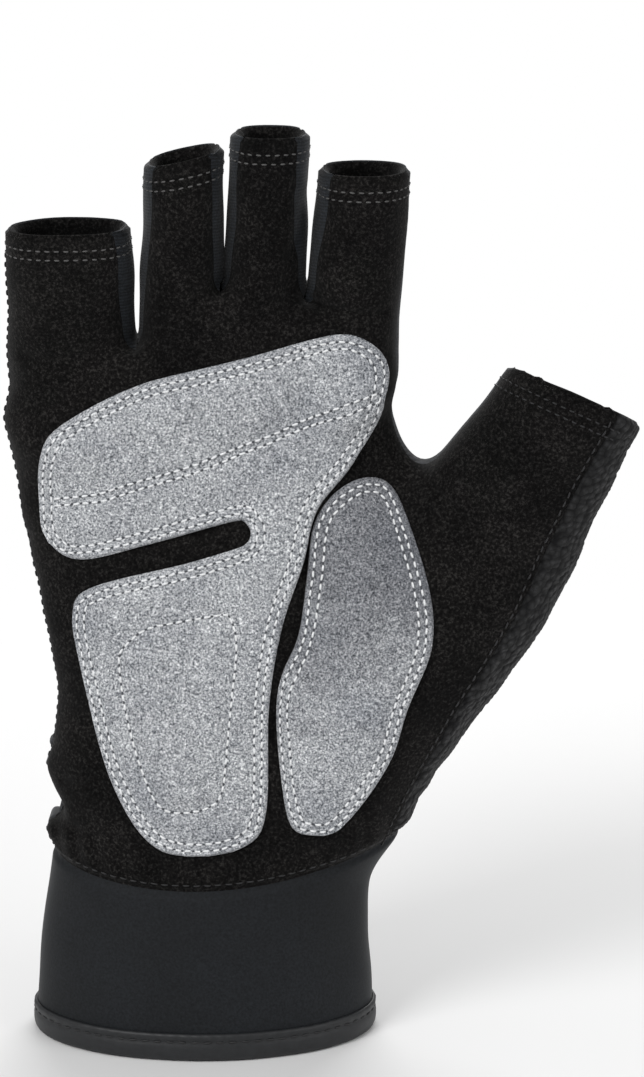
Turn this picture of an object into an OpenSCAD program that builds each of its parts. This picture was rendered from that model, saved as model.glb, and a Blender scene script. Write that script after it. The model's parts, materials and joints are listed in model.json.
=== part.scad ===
// Right-hand short-finger sailing glove, holding the shape it has when worn.
// The palm faces -Y, the fingers point to +Z and the thumb points to +X.
// The origin is the centre of the cuff's mouth, on the plane that the glove stands on.

/* [Fabric] */
// Thickness of the suede on the palm and the fronts of the fingers
suede_t = 1.2; // [0.9:0.1:1.5]
// Thickness of the stretch knit on the back and between the fingers
knit_t = 1.2; // [0.9:0.1:1.5]
// Thickness of the looped towelling on the outside of the thumb
towel_t = 1.8; // [1.4:0.1:2.2]
// Thickness of the neoprene cuff
cuff_t = 2; // [1.6:0.1:2.4]
// Thickness of the grip patches
patch_t = 1.3; // [1:0.1:1.6]
// Thickness of the foam under the heel of the hand
foam_t = 2; // [1.6:0.1:2.6]
// Thickness of the folded hem inside each opening
hem_t = 1; // [0.8:0.1:1.3]
// Thickness of the ribbed elastic across the back of the wrist
elastic_t = 2.2; // [1.8:0.1:2.8]

/* [Cuff] */
// Width of the cuff at its mouth
cuff_w = 76; // [68:1:84]
// Depth of the cuff at its mouth, palm to back
cuff_d = 50; // [44:1:56]
// Height of the seam between the cuff and the hand
cuff_h = 42; // [36:0.5:48]
// Height of the binding on the cuff's edge
binding_h = 6.5; // [5:0.5:8]
// Wall of the binding outside and inside the cuff
binding_t = 0.9; // [0.7:0.1:1.2]

/* [Hand] */
// Width across the knuckles
hand_w = 87; // [80:1:94]
// Width of the glove at the wrist
wrist_w = 74; // [68:1:80]
// Depth of the palm in front of the middle plane, at the heel of the hand
palm_front = 23; // [20:0.5:26]
// Depth of the back of the hand behind the middle plane
palm_back = 18; // [16:0.5:20]
// Depth of the hand in front of and behind the middle plane, at the knuckles
knuckle_d = 15.5; // [14:0.5:17]
// Height of the web between thumb and index finger
web_h = 132; // [128:1:138]

/* [Fingers] */
// Width of the little finger's stall
little_w = 29.5; // [26:0.5:31]
// Width of the ring finger's stall
ring_w = 18.5; // [17:0.5:20]
// Width of the middle finger's stall
middle_w = 18.5; // [17:0.5:20]
// Width of the index finger's stall
index_w = 20.5; // [19:0.5:22]
// Height of the little finger's knuckle seam
little_z = 157; // [154:1:159]
// Height of the ring finger's knuckle seam
ring_z = 165; // [162:1:167]
// Height of the middle finger's knuckle seam
middle_z = 169; // [166:1:171]
// Height of the index finger's knuckle seam
index_z = 167; // [164:1:169]
// Length of the little finger's stall
little_len = 29; // [24:1:34]
// Length of the ring finger's stall
ring_len = 37; // [31:1:43]
// Length of the middle finger's stall
middle_len = 38; // [32:1:44]
// Length of the index finger's stall
index_len = 31; // [26:1:36]
// How far the stalls lean towards the palm, in degrees
finger_lean = 20; // [12:1:24]
// Wedge at the back of each knuckle, which closes as the finger straightens, in degrees
knuckle_wedge = 14; // [10:1:16]
// Depth of a stall at its hem
hem_d = 23; // [20:0.5:25]
// Length of the folded hem inside each opening
hem_len = 7; // [5:0.5:9]

/* [Thumb] */
// Length of the thumb's stall, from its crease to its hem
thumb_len = 40; // [34:1:46]
// Width of the thumb's stall at its hem
thumb_w = 31; // [27:0.5:34]
// Depth of the thumb's stall at its hem
thumb_d = 26; // [22:0.5:29]
// Wedge at the back of the thumb's crease, which closes as the thumb straightens, in degrees
thumb_wedge = 8; // [5:1:10]

/* [Hidden] */
FINGERS = ["index", "middle", "ring", "little"];

gap = 0.3;          // running gap between bodies, and between one stall and the next
past = 3;           // how far a form runs on past the plane that cuts it
patch_gap = 0.15;   // between a patch and the suede that it is sewn to
groove_gap = 0.1;   // between the cuff and the binding folded over it
disc_t = 0.02;      // thickness of the discs that the lofts are hulled from
edge_round = 1.15;  // width of the hand's round edges, against their depth
stall_taper = 0.02; // how much a finger's stall narrows per millimetre of its length
cuff_taper = 0.06;  // how much the cuff narrows per millimetre above its straight part
badge_t = 0.8;      // thickness of the badge
far = 200;          // longer than the glove in every direction
facets = 40;

// ---- Form of the hand: level sections [z, left, right, front, back] ----
knuckle_l = -hand_w / 2;
knuckle_r = hand_w / 2;
wrist_l = 3 - wrist_w / 2;
wrist_r = 3 + wrist_w / 2;
top_z = max(middle_z, index_z) + 20;
HAND = [
    [cuff_h - 1, wrist_l, wrist_r, 1 - palm_front, palm_back + 4],
    [cuff_h + 10, wrist_l, wrist_r + 2, -palm_front, palm_back + 3],
    [cuff_h + 24, wrist_l, wrist_r + 7, -palm_front, palm_back + 1],
    [cuff_h + 40, wrist_l, wrist_r + 10, 0.5 - palm_front, palm_back],
    [web_h - 32, wrist_l - 2, wrist_r + 11, 2 - palm_front, palm_back],
    [web_h - 14, knuckle_l + 3.5, knuckle_r + 6, 4 - palm_front, palm_back],
    [web_h, knuckle_l + 2, knuckle_r + 2, -knuckle_d - 1.5, palm_back - 0.5],
    [web_h + 13, knuckle_l, knuckle_r - 1, -knuckle_d, palm_back - 1.5],
    [web_h + 26, knuckle_l, knuckle_r, -knuckle_d, knuckle_d + 0.5],
    [top_z, knuckle_l, knuckle_r + 2, -knuckle_d, knuckle_d]
];

// ---- Ball of the thumb and thumb: sections [x, y, z, half width, half depth, lean] ----
thumb_roll = 28.7;      // the thumb's slant to the side, in degrees
thumb_lean = 17;        // the thumb's lean towards the palm, in degrees
crease_roll = 44;       // slant of the crease at the thumb's root, in degrees
crease = [62.5, -4, web_h - 15];
thumb_dir = [sin(thumb_roll) * cos(thumb_lean), -sin(thumb_lean), cos(thumb_roll) * cos(thumb_lean)];
root_w = 44;            // width of the thumb at its crease
root_d = 34;            // depth of the thumb at its crease
BALL = [
    [27, -1, cuff_h + 10, root_w / 2 - 8, 17, 0],
    [36, -2, web_h - 57, root_w / 2 - 2, 20.5, 0],
    [48, -2.5, web_h - 37, root_w / 2, 19, thumb_lean / 2],
    concat(crease, [root_w / 2, root_d / 2, thumb_lean])
];
// The thumb's section at a distance along its axis from the crease.
function thumb_at(s) = let (k = s / thumb_len) concat(crease + s * thumb_dir,
    [root_w / 2 + (thumb_w - root_w) / 2 * k, root_d / 2 + (thumb_d - root_d) / 2 * k, thumb_lean]);
THUMB = [for (s = [-18, 0.4 * thumb_len, 0.6 * thumb_len, 0.8 * thumb_len, thumb_len + past]) thumb_at(s)];

// ---- Hinges: each lies just in front of the suede at the foot of its stall ----
finger_hinge_y = -knuckle_d - 1.5;
thumb_hinge = [46, -23, web_h + 2];
knuckle_zs = [index_z, middle_z, ring_z, little_z];
lens = [index_len, middle_len, ring_len, little_len];
widths = [index_w, middle_w, ring_w, little_w];

// The stalls stand side by side from the little finger's edge of the hand.
function right_of(f) = f == 3 ? knuckle_l + little_w : right_of(f + 1) + widths[f];
function left_of(f) = right_of(f) - widths[f];

// ---- Seams ----
split_y = -3;         // seam between palm and back along the little finger's edge
wall_half = 3.5;      // half the width of a finger's side wall
towel_x = 58;         // where the towelling's inner seam passes the web
web_x = 50;           // the thumb's stall starts here, clear of the hand's edge
thumb_split = -1;     // seam between the thumb's front and back, from its axis
badge = [50, 9];      // length and height of the blank badge
badge_at = [-10, 97];
elastic_z = [cuff_h + 4, cuff_h + 28];
elastic_x = [-30, 28];

// ---- Outlines on the palm, seen from the front as [x, z] ----
PALM_PATCH = [
    [-35.5, 125], [-34.8, 136], [-30, 143], [-13, 151.8], [7, 157], [22, 161], [33, 162.6], [40, 157],
    [39.5, 147], [33, 134], [25.3, 124.3], [22.3, 113], [17.2, 97], [14.6, 80], [14.1, 58], [10, 50],
    [-2, 47.3], [-12, 50.6], [-20.5, 65], [-26, 86], [-28.4, 100], [-24, 106.8], [-4, 112.3], [9, 116.6],
    [10.8, 119.5], [7.5, 122], [-11, 117], [-27, 113], [-34, 117]
];
THUMB_PATCH = [
    [37.5, 130.6], [30.5, 128.6], [25, 121.5], [23.3, 109], [21.5, 96.5], [16.9, 85], [16.8, 72],
    [19.2, 55.5], [24, 52.2], [31, 54], [41, 68.5], [45, 81], [50.4, 95], [49.5, 109], [43.4, 126]
];
HEEL_PAD = [
    [4.5, 101.5], [-6, 99], [-15.5, 95], [-17.8, 87], [-14.7, 71.5], [-9.5, 59], [-1, 57.3], [4.5, 61],
    [6.2, 80], [8, 97]
];

// A closed curve through the points, with the given number of steps between two of them.
function bend(a, b, c, d, t) = 0.5 * (2 * b + (c - a) * t + (2 * a - 5 * b + 4 * c - d) * t * t
    + (3 * b - a - 3 * c + d) * t * t * t);
function smooth(p, steps = 3) = [
    for (i = [0 : len(p) - 1], k = [0 : steps - 1])
        bend(p[(i + len(p) - 1) % len(p)], p[i], p[(i + 1) % len(p)], p[(i + 2) % len(p)], k / steps)
];
function ellipse(a, b) = [
    for (k = [0 : facets - 1]) [a * cos(360 * k / facets), b * sin(360 * k / facets)]
];

// ---- Lofts ----
module disc(a, b) {
    scale([a, b, 1]) cylinder(r = 1, h = disc_t, center = true, $fn = facets);
}

// A level section of the hand: two round edges with a flatter middle.
module hand_disc(s, grow) {
    depth = (s[4] - s[3]) / 2;
    edge = depth * edge_round;
    for (x = [s[1] + edge, s[2] - edge])
        translate([x, (s[3] + s[4]) / 2, s[0]]) disc(edge + grow, depth + grow);
}
module hand_form(grow) {
    for (i = [0 : len(HAND) - 2]) hull() {
        hand_disc(HAND[i], grow);
        hand_disc(HAND[i + 1], grow);
    }
}

// A section across the thumb.
module thumb_disc(s, grow) {
    translate([s[0], s[1], s[2]]) rotate([0, thumb_roll, 0]) rotate([s[5], 0, 0])
        disc(s[3] + grow, s[4] + grow);
}
module thumb_chain(sections, grow) {
    for (i = [0 : len(sections) - 2]) hull() {
        thumb_disc(sections[i], grow);
        thumb_disc(sections[i + 1], grow);
    }
}
// The hand with the ball of the thumb, which ends at the crease, or a little past it where it cuts.
module palm_form(grow, run_on = 0) {
    hand_form(grow);
    difference() {
        thumb_chain(concat(BALL, [THUMB[1]]), grow);
        past_crease(0, run_on);
    }
}
module thumb_form(grow) { thumb_chain(THUMB, grow); }

// A finger's stall, upright in its own frame, with its root at the origin.
module stall_form(f, grow) {
    a = (widths[f] - gap) / 2;
    cuts = [-14, 0, lens[f] / 3, 2 * lens[f] / 3, lens[f] + past];
    for (i = [0 : len(cuts) - 2]) hull() for (z = [cuts[i], cuts[i + 1]])
        translate([0, 0, z]) disc(a + grow - max(z, 0) * stall_taper,
                                  knuckle_d + grow + (hem_d / 2 - knuckle_d) * max(z, 0) / lens[f]);
}
module at_stall(f) {
    translate([(left_of(f) + right_of(f)) / 2, 0, knuckle_zs[f]]) rotate([finger_lean, 0, 0]) children();
}

// ---- Half spaces ----
// The space beyond a plane through a hinge, tilted about it and raised.
module beyond(hinge, roll, tilt, raise) {
    translate(hinge) rotate([0, roll, 0]) rotate([tilt, 0, 0]) translate([-far, -far, raise])
        cube([2 * far, 2 * far, 2 * far]);
}
module past_knuckle(f, tilt, raise) {
    beyond([0, finger_hinge_y, knuckle_zs[f]], 0, tilt, raise);
}
module past_crease(tilt, raise) { beyond(thumb_hinge, crease_roll, tilt, raise); }

// What belongs to the hand: above the cuff and under each knuckle's seam.
module hand_space() {
    difference() {
        translate([-far, -far, cuff_h]) cube([2 * far, 2 * far, top_z - 5 - cuff_h]);
        for (f = [0 : 3]) translate([f == 3 ? -far : left_of(f), -far, knuckle_zs[f]])
            cube([right_of(f) - (f == 3 ? -far : left_of(f)) + (f == 0 ? far : 0), 2 * far, far]);
    }
}
module front_space() { translate([-far, -far, -far]) cube([2 * far, far + split_y, 2 * far]); }

// The outside of the thumb, on the far side of a plane along it.
module towel_space() {
    translate([towel_x, split_y, web_h]) rotate([0, thumb_roll, 0])
        translate([0, 0, -far]) cube([far, far, 2 * far]);
}
module elastic_space() {
    translate([elastic_x[0], 0, elastic_z[0]])
        cube([elastic_x[1] - elastic_x[0], far, elastic_z[1] - elastic_z[0]]);
}
module outline(points) {
    rotate([90, 0, 0]) linear_extrude(far) polygon(smooth(points));
}

// ---- Hand ----
module hand_skin(t) { palm_layer(-t, 0); }
module palm_layer(inner, outer) {
    difference() {
        palm_form(outer);
        palm_form(inner, past);
    }
}
module palm_panel() {
    color("#201f20") intersection() {
        hand_skin(suede_t);
        hand_space();
        front_space();
    }
}
module back_panel() {
    color("#22262b") difference() {
        intersection() {
            hand_skin(knit_t);
            hand_space();
        }
        front_space();
        towel_space();
        elastic_space();
    }
}
module thumb_side_panel() {
    color("#2b2b2d") difference() {
        intersection() {
            hand_skin(towel_t);
            hand_space();
            towel_space();
        }
        elastic_space();
    }
}
module wrist_elastic() {
    color("#25282d") intersection() {
        hand_skin(elastic_t);
        elastic_space();
    }
}
module palm_grip_patch() {
    color("#a9abae") intersection() {
        palm_layer(patch_gap, patch_gap + patch_t);
        outline(PALM_PATCH);
    }
}
module thumb_grip_patch() {
    color("#a3a5a8") intersection() {
        palm_layer(patch_gap, patch_gap + patch_t);
        outline(THUMB_PATCH);
    }
}
module heel_pad() {
    color("#4a4a4c") intersection() {
        palm_layer(-suede_t - patch_gap - foam_t, -suede_t - patch_gap);
        outline(HEEL_PAD);
    }
}
module back_badge() {
    color("#c9cbcd") intersection() {
        palm_layer(patch_gap, patch_gap + badge_t);
        translate([badge_at[0], 0, badge_at[1]]) rotate([-90, 0, 0]) linear_extrude(far)
            offset(r = 2) square(badge - [4, 4], center = true);
    }
}

// ---- Cuff ----
module cuff_form(grow) {
    straight = binding_h + 2;
    waist = cuff_h - 6;
    levels = [0, straight, straight + (waist - straight) / 2, waist];
    for (i = [0 : 2]) hull() for (z = [levels[i], levels[i + 1]]) translate([0, 0, z])
        linear_extrude(disc_t) polygon(ellipse(cuff_w / 2 + grow - max(z - straight, 0) * cuff_taper,
                                               cuff_d / 2 + grow - max(z - straight, 0) * cuff_taper));
    hull() {
        translate([0, 0, waist]) linear_extrude(disc_t)
            polygon(ellipse(cuff_w / 2 + grow - (waist - straight) * cuff_taper,
                            cuff_d / 2 + grow - (waist - straight) * cuff_taper));
        hand_disc(concat([cuff_h + 1], [for (k = [1 : 4]) HAND[0][k]]), grow);
    }
}
module cuff() {
    color("#20252a") intersection() {
        difference() {
            cuff_form(0);
            cuff_form(-cuff_t);
        }
        translate([-far, -far, binding_t]) cube([2 * far, 2 * far, cuff_h - binding_t]);
    }
}
module ring(outer, inner, h) {
    linear_extrude(h) difference() {
        polygon(ellipse(cuff_w / 2 + outer, cuff_d / 2 + outer));
        polygon(ellipse(cuff_w / 2 + inner, cuff_d / 2 + inner));
    }
}
module cuff_binding() {
    color("#3c3e41") difference() {
        ring(groove_gap + binding_t, -cuff_t - groove_gap - binding_t, binding_h);
        translate([0, 0, binding_t]) ring(groove_gap, -cuff_t - groove_gap, binding_h);
    }
}

// ---- Stalls of the fingers ----
module stall(f, outer, inner) {
    at_stall(f) intersection() {
        difference() {
            stall_form(f, outer);
            stall_form(f, inner);
        }
        translate([-far, -far, -far]) cube([2 * far, 2 * far, far + lens[f]]);
    }
}
// One side of a stall: "front", "back", "left" or "right". The walls lie between front and back.
module stall_side(f, side, walls) {
    left = walls[0] ? wall_half : 0;
    right = walls[1] ? wall_half : 0;
    at_stall(f) {
        if (side == "front") {
            translate([-far, -far, -far]) cube([far, far - left, 2 * far]);
            translate([0, -far, -far]) cube([far, far - right, 2 * far]);
        }
        if (side == "back") {
            translate([-far, left, -far]) cube([far, far, 2 * far]);
            translate([0, right, -far]) cube([far, far, 2 * far]);
        }
        if (side == "left") translate([-far, -left, -far]) cube([far, 2 * left, 2 * far]);
        if (side == "right") translate([0, -right, -far]) cube([far, 2 * right, 2 * far]);
    }
}
WALLS = [[true, false], [true, true], [true, true], [false, true]];
module stall_panel(f, side) {
    color(side == "front" ? "#201f20" : "#1f242a") intersection() {
        stall(f, 0, side == "front" ? -suede_t : -knit_t);
        stall_side(f, side, WALLS[f]);
        past_knuckle(f, knuckle_wedge, gap);
    }
}
module stall_hem(f) {
    thick = max(suede_t, knit_t);
    color("#242425") intersection() {
        stall(f, -thick, -thick - hem_t);
        at_stall(f) translate([-far, -far, lens[f] - hem_len]) cube([2 * far, 2 * far, far]);
    }
}
// The stretch knit that fills the wedge behind a knuckle.
module knuckle(f) {
    color("#262a30") intersection() {
        difference() {
            stall(f, 0, -knit_t);
            past_knuckle(f, knuckle_wedge, -gap);
        }
        past_knuckle(f, 0, gap);
        translate([-far, 0, -far]) cube([2 * far, far, 2 * far]);
    }
}

// ---- Stall of the thumb ----
// The space at the front of a plane along the thumb's axis, or past a distance along it.
module at_thumb(s = 0) {
    translate(crease + s * thumb_dir) rotate([0, thumb_roll, 0]) rotate([thumb_lean, 0, 0]) children();
}
module thumb_front_space() {
    at_thumb() translate([-far, -far + thumb_split, -far]) cube([2 * far, far, 2 * far]);
}
module thumb_past(s) {
    at_thumb(s) translate([-far, -far, 0]) cube([2 * far, 2 * far, far]);
}
// A layer of the thumb's stall past its crease and clear of the hand.
module thumb_layer(outer, inner, tilt) {
    difference() {
        intersection() {
            thumb_form(outer);
            past_crease(tilt, gap);
            translate([web_x, -far, 0]) cube([far, 2 * far, far]);
        }
        thumb_form(inner);
        thumb_past(thumb_len);
    }
}
module thumb_front() {
    color("#201f20") intersection() {
        thumb_layer(0, -suede_t, thumb_wedge);
        thumb_front_space();
    }
}
module thumb_back() {
    color("#2b2b2d") difference() {
        thumb_layer(0, -towel_t, thumb_wedge);
        thumb_front_space();
    }
}
module thumb_hem() {
    thick = max(suede_t, towel_t);
    color("#242425") intersection() {
        thumb_layer(-thick, -thick - hem_t, thumb_wedge);
        thumb_past(thumb_len - hem_len);
    }
}
// The towelling that fills the wedge behind the thumb's crease.
module thumb_fold() {
    color("#2b2b2d") difference() {
        thumb_layer(0, -towel_t, 0);
        past_crease(thumb_wedge, -gap);
        thumb_front_space();
    }
}

palm_panel();
back_panel();
thumb_side_panel();
wrist_elastic();
cuff();
cuff_binding();
palm_grip_patch();
thumb_grip_patch();
heel_pad();
back_badge();
thumb_front();
thumb_back();
thumb_hem();
thumb_fold();
for (f = [0 : 3]) {
    stall_panel(f, "front");
    stall_panel(f, "back");
    stall_hem(f);
    knuckle(f);
}
stall_panel(0, "left");  // index_wall
stall_panel(1, "right");  // middle_wall_index_side
stall_panel(1, "left");  // middle_wall_ring_side
stall_panel(2, "right");  // ring_wall_middle_side
stall_panel(2, "left");  // ring_wall_little_side
stall_panel(3, "right");  // little_wall
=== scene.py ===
"""The looks of a right-hand short-finger sailing glove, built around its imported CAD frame.

The glove's skin is the zero level of one smooth field, in millimetres: a palm, the ball of the thumb and
five leaning tubes, joined with fillets. It is meshed once, cut along the seams into the panels that the
real glove is sewn from, and each panel is given its thickness, edges, stitches and fabric.
"""
import json
import math

import bpy
import numpy as np
import openvdb
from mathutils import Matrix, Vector

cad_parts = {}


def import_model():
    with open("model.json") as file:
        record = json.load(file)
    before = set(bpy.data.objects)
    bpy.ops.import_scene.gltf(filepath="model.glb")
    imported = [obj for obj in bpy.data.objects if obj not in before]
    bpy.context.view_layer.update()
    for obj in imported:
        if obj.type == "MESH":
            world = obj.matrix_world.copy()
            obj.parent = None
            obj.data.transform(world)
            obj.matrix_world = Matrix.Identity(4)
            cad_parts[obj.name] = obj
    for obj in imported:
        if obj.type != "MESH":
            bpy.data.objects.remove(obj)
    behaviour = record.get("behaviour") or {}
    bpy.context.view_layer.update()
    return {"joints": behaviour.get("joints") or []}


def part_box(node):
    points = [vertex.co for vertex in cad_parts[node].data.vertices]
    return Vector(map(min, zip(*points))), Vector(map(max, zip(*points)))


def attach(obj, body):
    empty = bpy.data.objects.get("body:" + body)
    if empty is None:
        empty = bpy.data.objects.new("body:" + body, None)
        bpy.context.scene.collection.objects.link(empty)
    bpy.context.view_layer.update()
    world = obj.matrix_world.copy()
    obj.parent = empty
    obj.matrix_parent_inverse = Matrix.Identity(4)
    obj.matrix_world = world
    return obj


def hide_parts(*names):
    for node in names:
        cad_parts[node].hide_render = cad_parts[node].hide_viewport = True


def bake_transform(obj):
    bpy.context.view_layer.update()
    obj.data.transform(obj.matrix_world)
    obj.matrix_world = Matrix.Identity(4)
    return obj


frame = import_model()
MM = 0.001
CELL = 1.1      # size of the skin's mesh
RNG = np.random.default_rng(7)


def box(node):
    """Lowest and highest corner of a CAD node, in millimetres."""
    return np.array(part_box(node)) / MM


# ---- Sizes taken from the frame ----
FINGERS = ["index", "middle", "ring", "little"]
JOINTS = {j["name"]: j for j in frame["joints"]}
KNUCKLE_Z = {f: JOINTS[f + "_flex"]["pos_m"][2] / MM for f in FINGERS}
CREASE_AT = np.array(JOINTS["thumb_flex"]["pos_m"]) / MM
CREASE_AXIS = np.array(JOINTS["thumb_flex"]["axis"])
CREASE_OUT = np.cross(CREASE_AXIS, [0, 1, 0])      # from the hand towards the thumb's tip
EDGE = {f: (box(f + "_back")[0][0], box(f + "_back")[1][0]) for f in FINGERS}
CUFF = box("cuff")
CUFF_TOP = CUFF[1][2]
BORDER = [(EDGE["little"][1] + EDGE["ring"][0]) / 2, (EDGE["ring"][1] + EDGE["middle"][0]) / 2,
          (EDGE["middle"][1] + EDGE["index"][0]) / 2]

# ---- Fabric thicknesses ----
SUEDE = 1.2
KNIT = 1.2
TOWEL = 1.8
CUFF_T = 2.0
PATCH = 1.3
HEM = 1.0


# ---- Small maths ----
def smooth(t):
    t = np.clip(t, 0, 1)
    return t * t * (3 - 2 * t)


def unit(vectors, tiny=0.0):
    """Rows of vectors, each brought to length one."""
    return vectors / (np.linalg.norm(vectors, axis=1) + tiny)[:, None]


def curve(t, table):
    """Smooth values at t through rows of [t, value, ...]."""
    rows = np.array(table, dtype=float)
    x, y = rows[:, 0], rows[:, 1:]
    slope = np.gradient(y, x, axis=0)
    t = np.clip(t, x[0], x[-1])
    i = np.clip(np.searchsorted(x, t) - 1, 0, len(x) - 2)
    h = x[i + 1] - x[i]
    u = (t - x[i]) / h
    weights = (1 + 2 * u) * (1 - u) ** 2, u * (1 - u) ** 2 * h, u * u * (3 - 2 * u), u * u * (u - 1) * h
    return [weights[0] * y[i, k] + weights[1] * slope[i, k] + weights[2] * y[i + 1, k]
            + weights[3] * slope[i + 1, k] for k in range(y.shape[1])]


def join(a, b, fillet):
    """The smaller of two distances, with a fillet where they meet."""
    h = np.maximum(fillet - np.abs(a - b), 0) / fillet
    return np.minimum(a, b) - h * h * fillet / 4


def radial(u, v, left, right, front, back, power):
    """Distance from a rounded section, along the ray from its middle."""
    cu, cv = (left + right) / 2, (front + back) / 2
    au, av = np.maximum((right - left) / 2, 0.5), np.maximum((back - front) / 2, 0.5)
    du, dv = u - cu, v - cv
    r = np.sqrt(du * du + dv * dv) + 1e-6
    q = (np.abs(du / au) ** power + np.abs(dv / av) ** power) ** (1 / power) + 1e-6
    return r * (1 - 1 / q)


def turned(roll, lean):
    """Axes of a stall that slants sideways by roll and leans to the palm by lean, in degrees."""
    r, n = math.radians(roll), math.radians(lean)
    along = np.array([math.sin(r) * math.cos(n), -math.sin(n), math.cos(r) * math.cos(n)])
    across = np.array([math.cos(r), 0, -math.sin(r)])
    return across, np.cross(along, across), along


def polyline_distance(x, z, points):
    """Distance from points in the front view to a line, and how far along it the nearest point is."""
    best = np.full(x.shape, 1e9)
    where = np.zeros(x.shape)
    total = sum(math.dist(a, b) for a, b in zip(points, points[1:]))
    run = 0
    for (ax, az), (bx, bz) in zip(points, points[1:]):
        length = math.dist((ax, az), (bx, bz))
        t = np.clip(((x - ax) * (bx - ax) + (z - az) * (bz - az)) / length ** 2, 0, 1)
        d = np.hypot(x - ax - t * (bx - ax), z - az - t * (bz - az))
        closer = d < best
        best = np.where(closer, d, best)
        where = np.where(closer, (run + t * length) / total, where)
        run += length
    return best, where


# ---- The skin's field ----
# Rows of [height, left, right, front, back] of the hand without its thumb.
PALM = [
    [-4, -39.2, 38, -25, 25], [8.5, -39, 38, -25, 25], [24, -37.8, 37.2, -24.3, 24.3],
    [36, -35.9, 37.6, -23.2, 22.8], [43, -34.9, 39, -22.6, 21.8], [52, -34.2, 41.5, -22.4, 21],
    [64, -34.4, 45.5, -22, 20], [80, -33.2, 50, -21, 18.6], [97, -35.3, 53, -19.8, 18],
    [114, -39.3, 52, -18, 18], [125, -41, 48.5, -16.8, 17.6], [136, -41.8, 44.6, -15.8, 17],
    [148, -43.2, 41.2, -15.3, 16.4], [160, -43.2, 42, -15.4, 15.6], [190, -43, 46, -15.4, 15.4],
]
THUMB_ROLL = 28.7
THUMB_ROOT = np.array([62.5, 0, 115.0])
THUMB_ACROSS, _, THUMB_ALONG = turned(THUMB_ROLL, 0)
# Rows of [distance along, left, right, front, back] across the ball of the thumb and its stall.
THUMB = [
    [-82, -8, 8, -14, 10], [-72, -14, 14, -18.5, 14.5], [-50, -22, 16.5, -22.5, 17.5],
    [-26, -22.5, 19.5, -21.8, 15.8], [-8, -21.5, 21, -21.4, 13.5], [4, -20.5, 20.2, -21.4, 10.8],
    [20, -17.5, 17.8, -24.2, 5], [42, -15.2, 15.6, -29.2, -3],
]
THUMB_END = 39.5
# Each finger: middle, half width, sideways slant, heights of its opening and of the crotch on each side.
SHAPE = {
    "little": dict(x=-28.6, half=14.2, roll=0.6, top=184.6, tilt=0.5, crotch=(150, 157)),
    "ring": dict(x=-4.7, half=9.3, roll=2.6, top=200.3, tilt=11, crotch=(157, 170.5)),
    "middle": dict(x=13.9, half=9.2, roll=2.2, top=205.2, tilt=-1, crotch=(170.5, 168.5)),
    "index": dict(x=33.2, half=10.6, roll=4.6, top=197.2, tilt=0, crotch=(168.5, 158)),
}
FINGER_LEAN = 20
OPENING_LEAN = 5
ROOT_HALF_DEPTH = 15.2
HEM_HALF_DEPTH = 11.6
FILLET = 5.0
STALL_RUN = 36                             # from the knuckle to the opening
STALL_TAPER, STALL_FLARE = 0.02, 0.9       # narrower towards the opening, wider into the hand
STALL_START = -32                          # where a stall begins, inside the palm
UPRIGHT_RUN = 14                           # length over which it turns upright below the knuckle
SINK_FROM, SINK_RUN = 12, 16               # depth at which it draws in under the palm's skin
SINK_WIDTH, SINK_DEPTH = 7, 5
FINGER_POWER, THUMB_POWER = 2.25, 2.15     # 2 is an ellipse, and more is squarer
THUMB_START = -80
THUMB_FILLET = 10
WEB_ROUND = 4
for f in FINGERS:
    s = SHAPE[f]
    s["root"] = np.array([s["x"], 0.3, KNUCKLE_Z[f]])
    s["axes"] = turned(s["roll"], FINGER_LEAN)


def at_finger(f, p):
    """Coordinates across, through and along a finger."""
    q = p - SHAPE[f]["root"]
    return [q @ a for a in SHAPE[f]["axes"]]


def finger_field(f, p):
    """One stall: leaning above its knuckle, and upright and sinking into the hand below it."""
    u, v, s = at_finger(f, p)
    upright = smooth(-s / UPRIGHT_RUN)
    v = v * (1 - upright) + (p[..., 1] - SHAPE[f]["root"][1]) * upright
    sink = smooth((-s - SINK_FROM) / SINK_RUN)
    half = SHAPE[f]["half"] - STALL_TAPER * np.maximum(s, 0) + STALL_FLARE * smooth(-s / 25)
    half = half - SINK_WIDTH * sink
    k = np.clip(s / STALL_RUN, -0.3, 1.1)
    depth = ROOT_HALF_DEPTH + (HEM_HALF_DEPTH - ROOT_HALF_DEPTH) * k - SINK_DEPTH * sink
    middle = -0.4 * k
    d = radial(u, v, -half, half, middle - depth, middle + depth, FINGER_POWER)
    return np.maximum(d, STALL_START - s)


def crotch_height(x):
    """Height of the fabric between the fingers, across the hand."""
    at = [-47, -38] + BORDER + [38, 47]
    heights = [140, 150, 158, 171.5, 169.5, 158, 150]
    return np.interp(x, at, heights)


def thumb_field(p):
    q = p - THUMB_ROOT
    s = q @ THUMB_ALONG
    left, right, front, back = curve(s, THUMB)
    d = radial(q @ THUMB_ACROSS, p[..., 1], left, right, front, back, THUMB_POWER)
    return np.maximum(d, THUMB_START - s)


def palm_field(p):
    x, y, z = p[..., 0], p[..., 1], p[..., 2]
    left, right, front, back = curve(z, PALM)
    power = 2.0 + 0.55 * smooth((z - 20) / 40)
    d = radial(x, y, left, right, front, back, power)
    top = z - crotch_height(x)
    h = np.maximum(WEB_ROUND - np.abs(d - top), 0) / WEB_ROUND
    return np.maximum(d, top) + h * h


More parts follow.
